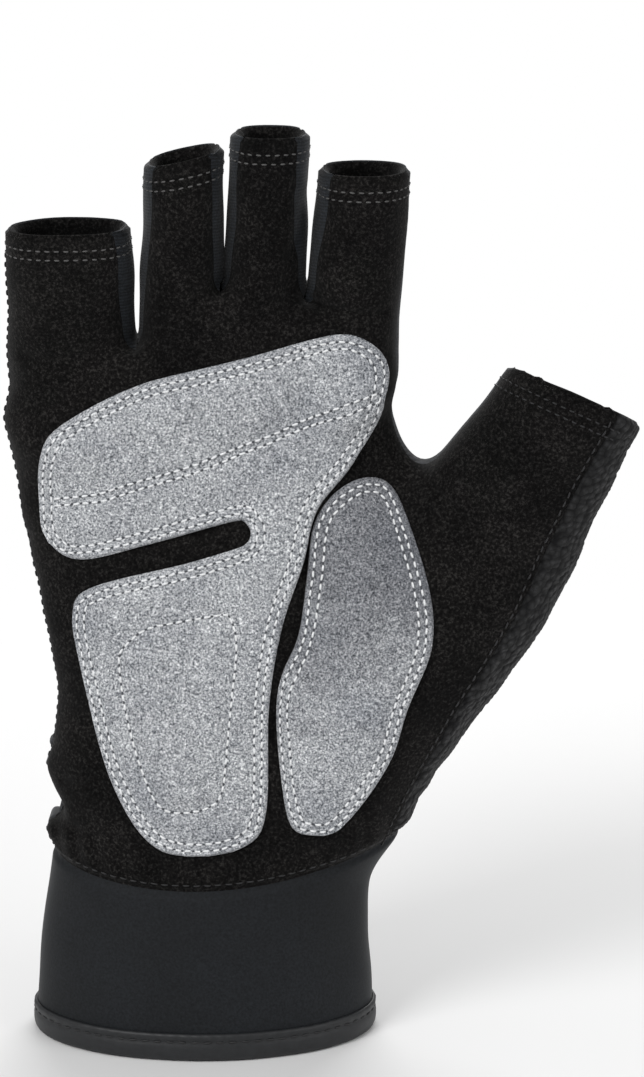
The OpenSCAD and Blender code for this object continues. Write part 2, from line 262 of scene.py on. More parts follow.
# Creases in the suede, in the front view: points, width, depth.
CREASES = [
    ([(47.5, 131), (54, 125.5), (61, 119), (69, 110.5), (74, 104)], 1.3, 1.0),
    ([(21, 170), (27, 168.5), (34, 167.3), (42, 167)], 1.2, 0.9),
    ([(0.5, 174), (-2, 168), (-6, 164), (-10, 160), (-12.5, 156)], 1.3, 0.7),
    ([(22, 196), (21.5, 186), (19, 178), (19.6, 170), (19, 165)], 1.5, 0.8),
    ([(-41, 158), (-32, 156.5), (-22, 157), (-15, 156)], 1.8, 0.45),
    ([(2, 172), (7, 170.5), (14, 169.5), (20, 170)], 1.5, 0.5),
    ([(-38, 120), (-28, 115), (-8, 117), (10, 121)], 2.2, 0.5),
    ([(20, 53), (17, 74), (18, 90), (22.5, 104), (24, 119), (31, 130)], 1.6, 1.0),
    ([(50, 128), (58, 136), (62, 143)], 2.2, 0.35),
    ([(-33, 62), (-28, 61), (-21, 63)], 1.6, 0.5),
    ([(-33, 52), (-26, 50), (-18, 51)], 1.5, 0.4),
]
# Soft mounds and hollows on the palm: x, z, radius across, radius along, height.
MOUNDS = [
    (-18, 76, 17, 28, 1.5), (2, 100, 15, 14, -2.0), (36, 92, 13, 30, 1.6), (-27, 146, 13, 8, 1.1),
    (-3, 154, 10, 8, 1.1), (14, 159, 9, 8, 1.1), (33, 157, 10, 8, 1.3), (15, 128, 22, 8, -0.8),
    (35.5, 103, 3.5, 13, 1.0), (41.5, 101, 3.5, 10, -1.0), (29, 110, 4, 9, -0.7), (34, 80, 9, 4, 0.5),
    (28, 70, 5, 7, -0.5), (-12, 136, 12, 5, 0.7), (18, 146, 12, 5, 0.7), (4, 88, 7, 12, 0.6),
]
# Folds that the wrist's elastic draws in the hand's side: height of the fold, its width, how far out.
WRIST_FOLDS = [(64, 4, 1.5), (54, 3, -2.2), (48.5, 2.6, 1.4)]


def wave(p, direction, length, phase):
    return np.sin(2 * np.pi * (p @ np.array(direction)) / length + phase)


def relief(p):
    """Height that creases, mounds and the fabric's slack add to the skin."""
    x, y, z = p[..., 0], p[..., 1], p[..., 2]
    front = smooth((-y - 3) / 6)
    h = np.zeros(x.shape)
    for points, width, depth in CREASES:
        d, t = polyline_distance(x, z, points)
        h -= depth * np.exp(-(d / width) ** 2) * smooth(t * 8) * smooth((1 - t) * 8) * front
    for mx, mz, rx, rz, height in MOUNDS:
        h += height * np.exp(-((x - mx) / rx) ** 2 - ((z - mz) / rz) ** 2) * front
    above = smooth((z - CUFF_TOP - 1) / 8)
    slack = (wave(p, (0.3, 0.5, 1), 31, 0.4) * wave(p, (1, -0.4, 0.2), 27, 1.1)
             + 0.6 * wave(p, (0.8, 0.2, -0.7), 15, 2.0) * wave(p, (0.1, 0.9, 0.6), 19, 0.2))
    h += 0.28 * slack * (0.35 + 0.65 * above)
    # The seam between cuff and hand pulls in, and the hand gathers above it.
    seam = z - cuff_seam(x)
    h -= 1.0 * np.exp(-(seam / 1.1) ** 2)
    gather = np.exp(-((seam - 5) / 5) ** 2) * smooth(seam / 3)
    h += 0.35 * gather * np.sin(x * 1.15 + 1.3 * np.sin(x * 0.21) + z * 0.12)
    # The elastic across the back of the wrist draws the sides into two folds.
    side = smooth((-x - 27) / 4) * smooth((y + 14) / 8)
    h += side * sum(out * np.exp(-((z - at) / width) ** 2) for at, width, out in WRIST_FOLDS)
    return h


def cuff_seam(x):
    """Height of the seam between the cuff and the hand."""
    return CUFF_TOP - 3.2 + 0.0045 * (x + 3) ** 2


def bare_field(p, palm):
    """The palm, the thumb and all fingers joined, without creases and folds."""
    d = join(palm, thumb_field(p), THUMB_FILLET)
    for f in FINGERS:
        d = join(d, finger_field(f, p), FILLET)
    return d


def whole_field(p):
    return bare_field(p, palm_field(p)) - relief(p)


def one_finger_field(f):
    """The whole skin up to the crotches beside a finger, and that finger by itself above them."""
    s = SHAPE[f]

    def field(p):
        palm = palm_field(p)
        everything = bare_field(p, palm)
        alone = join(palm, finger_field(f, p), FILLET)
        across = smooth((p[..., 0] - s["x"] + s["half"]) / (2 * s["half"]))
        start = s["crotch"][0] + (s["crotch"][1] - s["crotch"][0]) * across
        k = smooth((p[..., 2] - start + 1) / 4)
        return everything * (1 - k) + alone * k - relief(p)
    return field


# ---- Meshing ----
def sides_of(tris):
    """Directed edges of the triangles."""
    return np.vstack([tris[:, [0, 1]], tris[:, [1, 2]], tris[:, [2, 0]]])


def gradient(field, p):
    e = 0.05
    g = np.empty(p.shape)
    for k in range(3):
        step = np.zeros(3)
        step[k] = e
        g[:, k] = (field(p + step) - field(p - step)) / (2 * e)
    return g


def settle(field, p, rounds=3):
    """Moves points onto the field's zero level."""
    for _ in range(rounds):
        g = gradient(field, p)
        d = field(p)
        move = -d[:, None] * g / np.maximum((g * g).sum(1), 0.05)[:, None]
        length = np.linalg.norm(move, axis=1)
        p = p + move * np.minimum(1, 1.5 / np.maximum(length, 1e-9))[:, None]
    return p


def relax(points, tris, field, rounds=2):
    """Evens out the triangles without leaving the surface."""
    edges = np.unique(np.sort(sides_of(tris), axis=1), axis=0)
    count = np.bincount(edges.ravel(), minlength=len(points))[:, None]
    for _ in range(rounds):
        total = np.zeros(points.shape)
        np.add.at(total, edges[:, 0], points[edges[:, 1]])
        np.add.at(total, edges[:, 1], points[edges[:, 0]])
        points = settle(field, points * 0.5 + 0.5 * total / np.maximum(count, 1), 1)
    return points


def mesh_field(field, low, high):
    """Triangles of the field's zero level inside a box."""
    counts = [int((h - l) / CELL) + 1 for l, h in zip(low, high)]
    axes = [l + CELL * np.arange(n) for l, n in zip(low, counts)]
    values = np.empty(counts, dtype=np.float32)
    for k, z in enumerate(axes[2]):
        x, y = np.meshgrid(axes[0], axes[1], indexing="ij")
        values[:, :, k] = field(np.stack([x, y, np.full(x.shape, z)], axis=-1))
    grid = openvdb.FloatGrid(9.0)
    grid.copyFromArray(values)
    points, quads = grid.convertToQuads(0.0)
    points = points.astype(float) * CELL + np.array(low)
    tris = np.vstack([quads[:, [0, 1, 2]], quads[:, [0, 2, 3]]]).astype(np.int64)
    points = settle(field, points)
    points = relax(points, tris, field)
    return points, settle_winding(points, tris, field)


def settle_winding(points, tris, field):
    """Turns every triangle so that its normal points out of the field."""
    a, b, c = points[tris[:, 0]], points[tris[:, 1]], points[tris[:, 2]]
    middle = (a + b + c) / 3
    facing = (np.cross(b - a, c - a) * gradient(field, middle)).sum(1)
    return tris if facing.mean() > 0 else tris[:, ::-1].copy()


def cut(points, tris, field, line, snap=0.3):
    """Splits the triangles where line(points) is zero, so that no triangle crosses it."""
    snap = snap * CELL
    for _ in range(2):
        d = line(points)
        near = np.abs(d) < snap
        g = gradient(line, points[near])
        points = points.copy()
        points[near] -= d[near, None] * g / np.maximum((g * g).sum(1), 0.2)[:, None]
        points[near] = settle(field, points[near], 1)
    d = line(points)
    d[np.abs(d) < 0.12 * CELL] = 0
    sign = np.sign(d)[tris]
    crossing = (sign.max(1) > 0) & (sign.min(1) < 0)
    rest, c, sign = tris[~crossing], tris[crossing], sign[crossing]
    if not len(c):
        return points, tris
    zero = (sign == 0).any(1)
    single = np.where((sign > 0).sum(1) == 1, 1, -1)[:, None]
    first = np.where(zero, np.argmax(sign == 0, 1), np.argmax(sign == single, 1))
    c = np.take_along_axis(c, (first[:, None] + np.arange(3)) % 3, 1)
    pairs = np.vstack([c[zero][:, [1, 2]], c[~zero][:, [0, 1]], c[~zero][:, [0, 2]]])
    pairs, back = np.unique(np.sort(pairs, axis=1), axis=0, return_inverse=True)
    back = back.ravel() + len(points)
    a, b = d[pairs[:, 0]], d[pairs[:, 1]]
    t = (a / (a - b))[:, None]
    fresh = settle(field, points[pairs[:, 0]] * (1 - t) + points[pairs[:, 1]] * t, 1)
    n, m = zero.sum(), (~zero).sum()
    m0, m1, m2 = back[:n], back[n:n + m], back[n + m:]
    i, j, k = c[zero].T
    u, v, w = c[~zero].T
    pieces = [np.stack(q, axis=1) for q in
              ((i, j, m0), (i, m0, k), (u, m1, m2), (m1, v, w), (m1, w, m2))]
    return np.vstack([points, fresh]), np.vstack([rest] + pieces)


def middles(points, tris):
    return points[tris].mean(axis=1)


def part_of(points, tris, keep):
    """The kept triangles with only their own vertices."""
    used, tris = np.unique(tris[keep], return_inverse=True)
    return points[used], tris.reshape(-1, 3)


def rim_edges(tris):
    """Directed edges that only one triangle has."""
    edges = sides_of(tris)
    both = {tuple(e) for e in edges}
    return np.array([e for e in edges if (e[1], e[0]) not in both])


# ---- Blender objects ----
def new_object(name, points, faces, body=None, material=None, slot=None, stands_for=(), normals=None):
    """A smooth mesh object from points in millimetres."""
    mesh = bpy.data.meshes.new(name)
    mesh.from_pydata((np.asarray(points) * MM).tolist(), [], [list(map(int, f)) for f in faces])
    mesh.validate()
    mesh.polygons.foreach_set("use_smooth", [True] * len(mesh.polygons))
    if normals is not None and len(normals) == len(mesh.vertices):
        mesh.normals_split_custom_set_from_vertices(normals.tolist())
    piece = bpy.data.objects.new("sewn_" + name if stands_for else name, mesh)
    bpy.context.scene.collection.objects.link(piece)
    if material:
        mesh.materials.append(material)
    if body:
        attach(piece, body)
    if stands_for:
        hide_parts(*stands_for)
    return piece


def layer(points, tris, field, low, high, lip=0.35):
    """A closed sheet between two heights over the skin, with round edges. Returns points, faces, normals."""
    n = unit(gradient(field, points))
    low, high = np.broadcast_to(low, len(points)), np.broadcast_to(high, len(points))
    top, bottom = points + n * high[:, None], points + n * low[:, None]
    rim = rim_edges(tris)
    ends = np.unique(rim)
    outward = np.zeros(points.shape)
    for a, b in rim:
        side = np.cross(points[b] - points[a], n[a] + n[b])
        outward[a] += side
        outward[b] += side
    for _ in range(3):                      # even out short, crooked edges
        spread = outward.copy()
        for a, b in rim:
            spread[a] += outward[b]
            spread[b] += outward[a]
        outward = spread / 2
    outward = outward[ends] / np.maximum(np.linalg.norm(outward[ends], axis=1), 1e-9)[:, None]
    lip = np.broadcast_to(lip, len(points))[ends]
    middle = (top[ends] + bottom[ends]) / 2 + outward * lip[:, None]
    count = len(points)
    index = np.full(count, -1)
    index[ends] = 2 * count + np.arange(len(ends))
    faces = [tuple(t) for t in tris] + [tuple(t[::-1] + count) for t in tris]
    for a, b in rim:
        faces.append((b, a, index[a], index[b]))
        faces.append((index[b], index[a], a + count, b + count))
    return (np.vstack([top, bottom, middle]), faces, np.vstack([n, -n, outward]))


# ---- Materials ----
def material(name, color, roughness=0.9, sheen=0.0, sheen_rough=0.5, specular=0.2):
    """A fabric's shader and its node tree, with the plain values on the shader's own sockets."""
    mat = bpy.data.materials.new(name)
    mat.use_nodes = True
    tree = mat.node_tree
    shader = tree.nodes["Principled BSDF"]
    shader.inputs["Base Color"].default_value = (*color, 1)
    shader.inputs["Roughness"].default_value = roughness
    shader.inputs["Sheen Weight"].default_value = sheen
    shader.inputs["Sheen Roughness"].default_value = sheen_rough
    shader.inputs["Specular IOR Level"].default_value = specular
    return mat, tree, shader


def add(tree, kind, **settings):
    node = tree.nodes.new(kind)
    for key, value in settings.items():
        if key in node.inputs:
            node.inputs[key].default_value = value
        else:
            setattr(node, key, value)
    return node


def noise(tree, where, scale, detail=2.0, rough=0.5):
    node = add(tree, "ShaderNodeTexNoise", Scale=scale, Detail=detail, Roughness=rough)
    tree.links.new(where, node.inputs["Vector"])
    return node.outputs["Fac"]


def ramp(tree, value, stops):
    """A colour ramp through (place, colour) stops. A single number stands for a grey."""
    node = tree.nodes.new("ShaderNodeValToRGB")
    while len(node.color_ramp.elements) < len(stops):
        node.color_ramp.elements.new(0.5)
    for element, (at, color) in zip(node.color_ramp.elements, stops):
        element.position = at
        element.color = (*(color if isinstance(color, tuple) else 3 * (color,)), 1)
    tree.links.new(value, node.inputs["Fac"])
    return node.outputs["Color"]


def mixed(tree, factor, a, b, blend="MIX"):
    node = add(tree, "ShaderNodeMix", data_type="RGBA", blend_type=blend)
    for socket, value in ((node.inputs["Factor"], factor), (node.inputs["A"], a), (node.inputs["B"], b)):
        if isinstance(value, (int, float)):
            socket.default_value = value
        elif isinstance(value, tuple):
            socket.default_value = (*value, 1)
        else:
            tree.links.new(value, socket)
    return node.outputs["Result"]


def bumped(tree, shader, layers):
    """Bump from (height, strength, distance in mm) layers, one over the other."""
    last = None
    for height, strength, distance in layers:
        node = add(tree, "ShaderNodeBump", Strength=strength, Distance=distance * MM)
        tree.links.new(height, node.inputs["Height"])
        if last:
            tree.links.new(last, node.inputs["Normal"])
        last = node.outputs["Normal"]
    tree.links.new(last, shader.inputs["Normal"])


def place(tree):
    return tree.nodes.new("ShaderNodeTexCoord").outputs["Object"]


def tinted(tree, shader, color, *shades):
    """Gives the shader a colour with shades laid over it."""
    for shade in shades:
        color = mixed(tree, 1.0, color, shade, "MULTIPLY")
    tree.links.new(color, shader.inputs["Base Color"])


def grained(tree, grain, color, dark, light):
    """A colour that goes from a darker to a lighter share of itself with the grain."""
    return ramp(tree, grain, [(0.3, tuple(dark * c for c in color)), (0.7, tuple(light * c for c in color))])


def suede_material():
    """Black napped suede: a fine nap, brushed darker and lighter in soft patches."""
    mat, tree, shader = material("suede_black", (0.008, 0.0078, 0.008), 0.95, 0.07, 0.45, 0.06)
    where = place(tree)
    nap = noise(tree, where, 1500, 3, 0.7)
    patches = noise(tree, where, 75, 3, 0.55)
    fine = ramp(tree, nap, [(0.35, (0.002, 0.0019, 0.0019)), (0.52, (0.0068, 0.0065, 0.0064)),
                            (0.68, (0.028, 0.027, 0.026))])
    soft = ramp(tree, patches, [(0.35, 0.62), (0.65, (1.25, 1.22, 1.2))])
    tinted(tree, shader, fine, soft)
    bumped(tree, shader, [(patches, 0.25, 0.5), (nap, 0.55, 0.16)])
    return mat


def grip_material(name, shade_from=None, shade_to=None, shade_tone=1.0):
    """Light-grey split suede: a salt-and-pepper nap over broad brushed clouds.

    Between two heights it goes over to a darker tone: painted shade, darker towards the top."""
    mat, tree, shader = material(name, (0.36, 0.37, 0.385), 0.95, 0.1, 0.4, 0.15)
    where = place(tree)
    nap = noise(tree, where, 2100, 3, 0.8)
    grain = noise(tree, where, 620, 3, 0.6)
    clouds = noise(tree, where, 48, 3, 0.5)
    fine = ramp(tree, nap, [(0.36, (0.05, 0.055, 0.065)), (0.45, (0.26, 0.272, 0.29)),
                            (0.55, (0.45, 0.462, 0.478)), (0.65, (0.88, 0.885, 0.9))])
    rough = ramp(tree, grain, [(0.3, (0.82, 0.82, 0.83)), (0.7, 1.15)])
    broad = ramp(tree, clouds, [(0.3, (0.76, 0.77, 0.79)), (0.5, 0.98), (0.7, (1.12, 1.12, 1.11))])
    color = mixed(tree, 1.0, mixed(tree, 1.0, fine, rough, "MULTIPLY"), broad, "MULTIPLY")
    # Painted shade: between the two heights the colour darkens towards the top.
    if shade_from is not None:
        split = tree.nodes.new("ShaderNodeSeparateXYZ")
        tree.links.new(where, split.inputs["Vector"])
        drift = noise(tree, where, 70, 2, 0.5)
        wavy = add(tree, "ShaderNodeMath", operation="MULTIPLY_ADD")
        wavy.inputs[1].default_value = 0.05
        tree.links.new(drift, wavy.inputs[0])
        tree.links.new(split.outputs["Z"], wavy.inputs[2])
        height = add(tree, "ShaderNodeMapRange", interpolation_type="SMOOTHSTEP")
        height.inputs["From Min"].default_value = (shade_from + 25) * MM
        height.inputs["From Max"].default_value = (shade_to + 25) * MM
        tree.links.new(wavy.outputs["Value"], height.inputs["Value"])
        shaded = mixed(tree, 1.0, color, (shade_tone, shade_tone, 1.03 * shade_tone), "MULTIPLY")
        color = mixed(tree, height.outputs["Result"], color, shaded)
    tree.links.new(color, shader.inputs["Base Color"])
    bumped(tree, shader, [(clouds, 0.3, 0.6), (grain, 0.25, 0.15), (nap, 0.6, 0.12)])
    return mat


def knit_material(name, color, pitch, sheen=0.1):
    """A fine rib knit: rows of small stitches crossed by wales."""
    mat, tree, shader = material(name, color, 0.85, sheen, 0.4, 0.25)
    where = place(tree)
    rows = add(tree, "ShaderNodeTexWave", wave_type="BANDS", bands_direction="Z",
               Scale=1 / (pitch * MM) / 3.2, Distortion=0.8, Detail=1.0)
    loops = add(tree, "ShaderNodeTexVoronoi", feature="F1", Scale=1.15 / (pitch * MM))
    for node in (rows, loops):
        tree.links.new(where, node.inputs["Vector"])
    weave = mixed(tree, 0.45, rows.outputs["Color"], loops.outputs["Distance"])
    fuzz = noise(tree, where, 900, 2, 0.6)
    shade = ramp(tree, weave, [(0.2, 0.55), (0.8, 1.3)])
    base = grained(tree, fuzz, color, 0.7, 1.5)
    tinted(tree, shader, base, shade)
    bumped(tree, shader, [(weave, 0.35, 0.25), (fuzz, 0.2, 0.1)])
    return mat


def neoprene_material():
    """Jersey-faced neoprene: a smooth, slightly blue black with a very fine knit."""
    mat, tree, shader = material("neoprene", (0.009, 0.0115, 0.0145), 0.75, 0.12, 0.35, 0.25)
    where = place(tree)
    fine = noise(tree, where, 1700, 2, 0.6)
    broad = noise(tree, where, 40, 2, 0.5)
    base = ramp(tree, fine, [(0.3, (0.0042, 0.0052, 0.0064)), (0.7, (0.0105, 0.0124, 0.0148))])
    soft = ramp(tree, broad, [(0.35, 0.85), (0.65, (1.1, 1.1, 1.12))])
    tinted(tree, shader, base, soft)
    bumped(tree, shader, [(broad, 0.15, 0.5), (fine, 0.3, 0.1)])
    return mat


def towel_material():
    """Looped towelling: knots of loops, with painted shade in the gaps between them."""
    mat, tree, shader = material("towelling", (0.014, 0.014, 0.015), 0.95, 0.1, 0.6, 0.08)
    where = place(tree)
    cells = add(tree, "ShaderNodeTexVoronoi", Scale=620.0, feature="F1")
    tree.links.new(where, cells.inputs["Vector"])
    fuzz = noise(tree, where, 1300, 3, 0.7)
    depth = cells.outputs["Distance"]
    # Painted shade: the loops' colour darkens from their tops into the gaps, where the bump drops.
    loops = ramp(tree, depth, [(0.0, (0.03, 0.03, 0.0315)), (0.45, (0.012, 0.012, 0.0125)),
                               (0.8, (0.0025, 0.0025, 0.003))])
    shade = ramp(tree, fuzz, [(0.3, 0.6), (0.7, 1.4)])
    tinted(tree, shader, loops, shade)
    height = ramp(tree, depth, [(0.0, 1), (0.8, 0)])
    bumped(tree, shader, [(height, 0.9, 0.5), (fuzz, 0.3, 0.15)])
    return mat


def plain_material(name, color, roughness, scale, bump, specular=0.35, sheen=0.0, spread=0.2):
    """A thread, tape or foam: one colour with a fine grain."""
    mat, tree, shader = material(name, color, roughness, sheen, 0.4, specular)
    where = place(tree)
    grain = noise(tree, where, scale, 3, 0.6)
    tinted(tree, shader, grained(tree, grain, color, 1 - spread, 1 + spread))
    bumped(tree, shader, [(grain, bump, 0.15)])
    return mat


SUEDE_M = suede_material()
GRIP_M = grip_material("suede_grey")
# The thumb patch: the grip suede with painted shade, darker towards the patch's top.
GRIP_THUMB_SHADED_M = grip_material("suede_grey_thumb_painted_shade", 68, 112, 0.5)
KNIT_M = knit_material("knit", (0.0125, 0.0145, 0.0175), 0.9)
GUSSET_M = knit_material("gusset_knit", (0.0125, 0.015, 0.0185), 0.7, 0.15)
ELASTIC_M = knit_material("elastic_rib", (0.019, 0.0205, 0.023), 1.1, 0.2)
NEOPRENE_M = neoprene_material()
TOWEL_M = towel_material()
BINDING_M = plain_material("binding_tape", (0.0165, 0.0175, 0.019), 0.5, 700, 0.25, 0.35)
THREAD_LIGHT = plain_material("thread_light", (0.82, 0.83, 0.84), 0.6, 2500, 0.3)
# Painted shade: dark grey dashes that stand for the shade in the needle holes between stitches.
NEEDLE_HOLE_SHADE = plain_material("needle_hole_shade", (0.075, 0.079, 0.087), 0.9, 2500, 0.2, 0.1)
THREAD_DARK = plain_material("thread_dark", (0.02, 0.02, 0.021), 0.6, 2500, 0.3)
THREAD_HEM = plain_material("thread_hem", (0.085, 0.083, 0.082), 0.6, 2500, 0.3)
FOAM_M = plain_material("foam", (0.09, 0.09, 0.095), 0.9, 900, 0.5)
BADGE_M = plain_material("badge_rubber", (0.58, 0.6, 0.62), 0.42, 1500, 0.08, 0.5, 0.0, 0.04)


# ---- Seams: each is zero on its line, and positive on the side named ----
def flat_side(axis, at):
    return lambda p: p[..., axis] - at


def front_seam(p):
    """Positive behind the seam between palm and back, on the hand and down its edge."""
    return p[..., 1] + 3 - 2.5 * smooth((p[..., 2] - 120) / 30)


# The towelling's seam on the palm side, in the front view, from the cuff to the thumb's opening.
TOWEL_FRONT = [[38, 36], [44, 40.2], [55, 44.5], [76, 55], [101, 69.5], [117, 76.2], [135, 84.2],
               [148.5, 91.2], [165, 99]]
TOWEL_BACK = [[38, 12], [60, 22], [90, 38], [118, 52], [132, 57], [165, 74]]


def towel_seam(p):
    """Positive on the towelling, to the right of its front seam and of its back seam."""
    front, = curve(p[..., 2], TOWEL_FRONT)
    back, = curve(p[..., 2], TOWEL_BACK)
    k = smooth((p[..., 1] - thumb_middle(p) + 6) / 12)
    return (p[..., 0] - (front * (1 - k) + back * k)) * 0.85


def thumb_middle(p):
    """Depth of the middle of the thumb beside a point."""
    s = (p - THUMB_ROOT) @ THUMB_ALONG
    left, right, front, back = curve(s, THUMB)
    return (front + back) / 2


def web_seam(p):
    """Positive behind the seam between the suede and the back, on the thumb's inner side."""
    return p[..., 1] - thumb_middle(p) - 1


def palm_back_seam(p):
    """Positive on the back of the glove."""
    k = smooth((p[..., 0] - 38) / 14) * smooth((p[..., 2] - 60) / 20)
    return front_seam(p) * (1 - k) + web_seam(p) * k


def past_crease(p):
    return (p - CREASE_AT) @ CREASE_OUT + 1.0


THUMB_SIDE_X = 46.5


def thumb_opening(p):
    """Positive past the thumb's opening."""
    q = p - THUMB_ROOT - THUMB_END * THUMB_ALONG
    return q @ THUMB_ALONG - 0.07 * (q @ THUMB_ACROSS) + 0.10 * (p[..., 1] + 18)


def finger_opening(f):
    s = SHAPE[f]
    tilt, lean = math.radians(s["tilt"]), math.radians(OPENING_LEAN)
    normal = np.array([-math.sin(tilt), -math.sin(lean), math.cos(tilt) * math.cos(lean)])
    along = s["axes"][2]
    reach = (s["top"] - s["root"][2]) / along[2]
    front = s["root"] + reach * along + np.array([0, -HEM_HALF_DEPTH, 0])
    front[2] = s["top"]
    return lambda p: (p - front) @ normal


def walled(f):
    """Whether a finger has a side wall on its left and on its right."""
    return f != "little", f != "index"


def wall_line(f, front_y, back_y, on_front):
    """Positive behind the line where a finger's front, or its side wall, ends."""
    left, right = walled(f)
    at = front_y if on_front else back_y

    def line(p):
        u, v, s = at_finger(f, p)
        k = smooth((u + 3) / 6)
        # On the hand's outer edges the line carries on from the seam of the hand.
        own = smooth((p[..., 2] - CUT_Z[f] - 1) / 18)
        edge = palm_back_seam(p) * (1 - own) + (v + 2.2) * own
        return (v - at if left else edge) * (1 - k) + (v - at if right else edge) * k
    return line


WALL_FRONT = -8.5
WALL_BACK = 4.5


# ---- Edges: how far each panel's face drops towards an opening or a seam ----
def round_over(d, radius):
    """Drop of a face at a distance d from its edge, rounded to the radius."""
    d = np.clip(d, 0, radius)
    return radius - np.sqrt(np.maximum(radius ** 2 - (radius - d) ** 2, 0))


def seam_drop(d, depth, width):
    return depth * np.exp(-(d / width) ** 2)


# ---- The hand: one mesh, cut along every seam ----
CUT_Z = {"little": 148, "ring": 155, "middle": 166, "index": 156}
BLEND_Z = {"little": (156.5, 168), "ring": (170.5, 183), "middle": (170.5, 183.5), "index": (168.5, 181)}
LIMITS = {"little": (-60, BORDER[0]), "ring": (BORDER[0], BORDER[1]), "middle": (BORDER[1], BORDER[2]),
          "index": (BORDER[2], 60)}
RIM = 0.9                          # rounding of a panel's face at an opening
ELASTIC = (46.0, 71.0, 28.0)       # lowest and highest edge, and where it ends on the thumb's side

whole_low, whole_high = (-50, -38, -3), (104, 32, 172)
POINTS, TRIS = mesh_field(whole_field, whole_low, whole_high)
LINES = [flat_side(2, CUFF[0][2]), lambda p: p[..., 2] - cuff_seam(p[..., 0]), palm_back_seam, towel_seam,
         past_crease, flat_side(0, THUMB_SIDE_X), thumb_opening,
         lambda p: thumb_opening(p) + RIM]
LINES += [flat_side(0, x) for x in BORDER] + [flat_side(2, CUT_Z[f]) for f in FINGERS]
LINES += [flat_side(2, ELASTIC[0]), flat_side(2, ELASTIC[1]), flat_side(0, ELASTIC[2])]
for line in LINES:
    POINTS, TRIS = cut(POINTS, TRIS, whole_field, line)
C = middles(POINTS, TRIS)

slab = np.searchsorted(BORDER, C[:, 0])
cut_height = np.array([CUT_Z[f] for f in ("little", "ring", "middle", "index")])[slab]
is_thumb = (past_crease(C) > 0) & (C[:, 0] > THUMB_SIDE_X)
is_hand = ~is_thumb & (C[:, 2] < cut_height)
above_seam = C[:, 2] > cuff_seam(C[:, 0])
behind = palm_back_seam(C) > 0
towel = (towel_seam(C) > 0) & above_seam
in_elastic = behind & ~towel & (C[:, 2] > ELASTIC[0]) & (C[:, 2] < ELASTIC[1]) & (C[:, 0] < ELASTIC[2])
short_of_tip = thumb_opening(C) < 0


def edge_drop(p):
    """How far the face drops at the seams and at the thumb's opening."""
    drop = seam_drop(palm_back_seam(p), 0.5, 0.8) * smooth((p[:, 2] - cuff_seam(p[:, 0])) / 2)
    drop += seam_drop(towel_seam(p), 0.55, 0.9) * smooth((p[:, 2] - cuff_seam(p[:, 0])) / 2)
    return drop + round_over(-thumb_opening(p), RIM)


def unsewn(p):
    """Whether a point lies where two pieces of one panel only part for the joints' sake."""
    found = np.abs(past_crease(p)) < 0.25
    for f, (left, right) in LIMITS.items():
        found |= (np.abs(p[:, 2] - CUT_Z[f]) < 0.25) & (p[:, 0] > left - 0.3) & (p[:, 0] < right + 0.3)
    for x in BORDER:
        found |= (np.abs(p[:, 0] - x) < 0.25) & (p[:, 2] > 140)
    return found


def split_once(points, tris, field):
    """Every triangle in four, with the new points on the surface."""
    pairs = sides_of(tris)
    pairs, back = np.unique(np.sort(pairs, axis=1), axis=0, return_inverse=True)
    ab, bc, ca = (back.ravel() + len(points)).reshape(3, -1)
    fresh = settle(field, points[pairs].mean(axis=1), 1)
    a, b, c = tris.T
    quarters = [(a, ab, ca), (ab, b, bc), (ca, bc, c), (ab, bc, ca)]
    return np.vstack([points, fresh]), np.vstack([np.stack(q, axis=1) for q in quarters])


def loops_height(p):
    """The towelling's loops: small rounded knots on a jittered lattice, each with its own height."""
    size = 1.25
    cell = np.floor(p / size).astype(np.int64)
    best = np.full(len(p), 9.0)
    for dx in (-1, 0, 1):
        for dy in (-1, 0, 1):
            for dz in (-1, 0, 1):
                c = cell + np.array([dx, dy, dz])
                h = (c * np.array([73856093, 19349663, 83492791])).sum(1)
                jitter = np.stack([((h * k) % 1009) / 1009 for k in (7, 13, 29)], axis=1)
                best = np.minimum(best, np.linalg.norm((c + jitter) * size - p, axis=1))
    return 0.42 * (1 - np.clip(best / size, 0, 1) ** 1.5)


def panel(name, keep, thickness, mat, slot, body, stands_for=(), points=None, tris=None, field=None,
          drop=None, loops=False):
    """One sewn panel of the skin, with its thickness inside the skin's surface."""
    points = POINTS if points is None else points
    tris = TRIS if tris is None else tris
    field = field or whole_field
    p, t = part_of(points, tris, keep)
    if loops:
        p, t = split_once(p, t, field)
    top = -(drop or edge_drop)(p)
    if loops:
        top = top + (loops_height(p) - 0.15) * smooth(-thumb_opening(p) / 2.5)
    vertices, faces, normals = layer(p, t, field, -thickness, top, 0.35 * ~unsewn(p))
    return new_object(name, vertices, faces, body, mat, slot, stands_for, None if loops else normals)


panel("palm_panel", is_hand & above_seam & ~behind & ~towel, SUEDE, SUEDE_M, "suede", "hand", ["palm_panel"])
panel("back_panel", is_hand & above_seam & behind & ~towel & ~in_elastic, KNIT, KNIT_M, "knit", "hand",
      ["back_panel"])
panel("thumb_side_panel", is_hand & towel, TOWEL, TOWEL_M, "towelling", "hand", ["thumb_side_panel"],
      loops=True)
panel("cuff", ~above_seam & (C[:, 2] > CUFF[0][2]), CUFF_T, NEOPRENE_M, "neoprene", "hand", ["cuff"],
      drop=lambda p: np.zeros(len(p)))


def bend_thumb(piece):
    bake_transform(piece)


for name, keep, thickness, mat, slot, nodes, loops in (
        ("thumb_front", ~towel & ~behind, SUEDE, SUEDE_M, "suede", ["thumb_front"], False),
        ("thumb_back", towel, TOWEL, TOWEL_M, "towelling", ["thumb_back", "thumb_fold"], True),
        ("thumb_inner_back", ~towel & behind, KNIT, KNIT_M, "knit", [], False)):
    chosen = is_thumb & short_of_tip & keep
    if chosen.any():
        bend_thumb(panel(name, chosen, thickness, mat, slot, None, nodes, loops=loops))


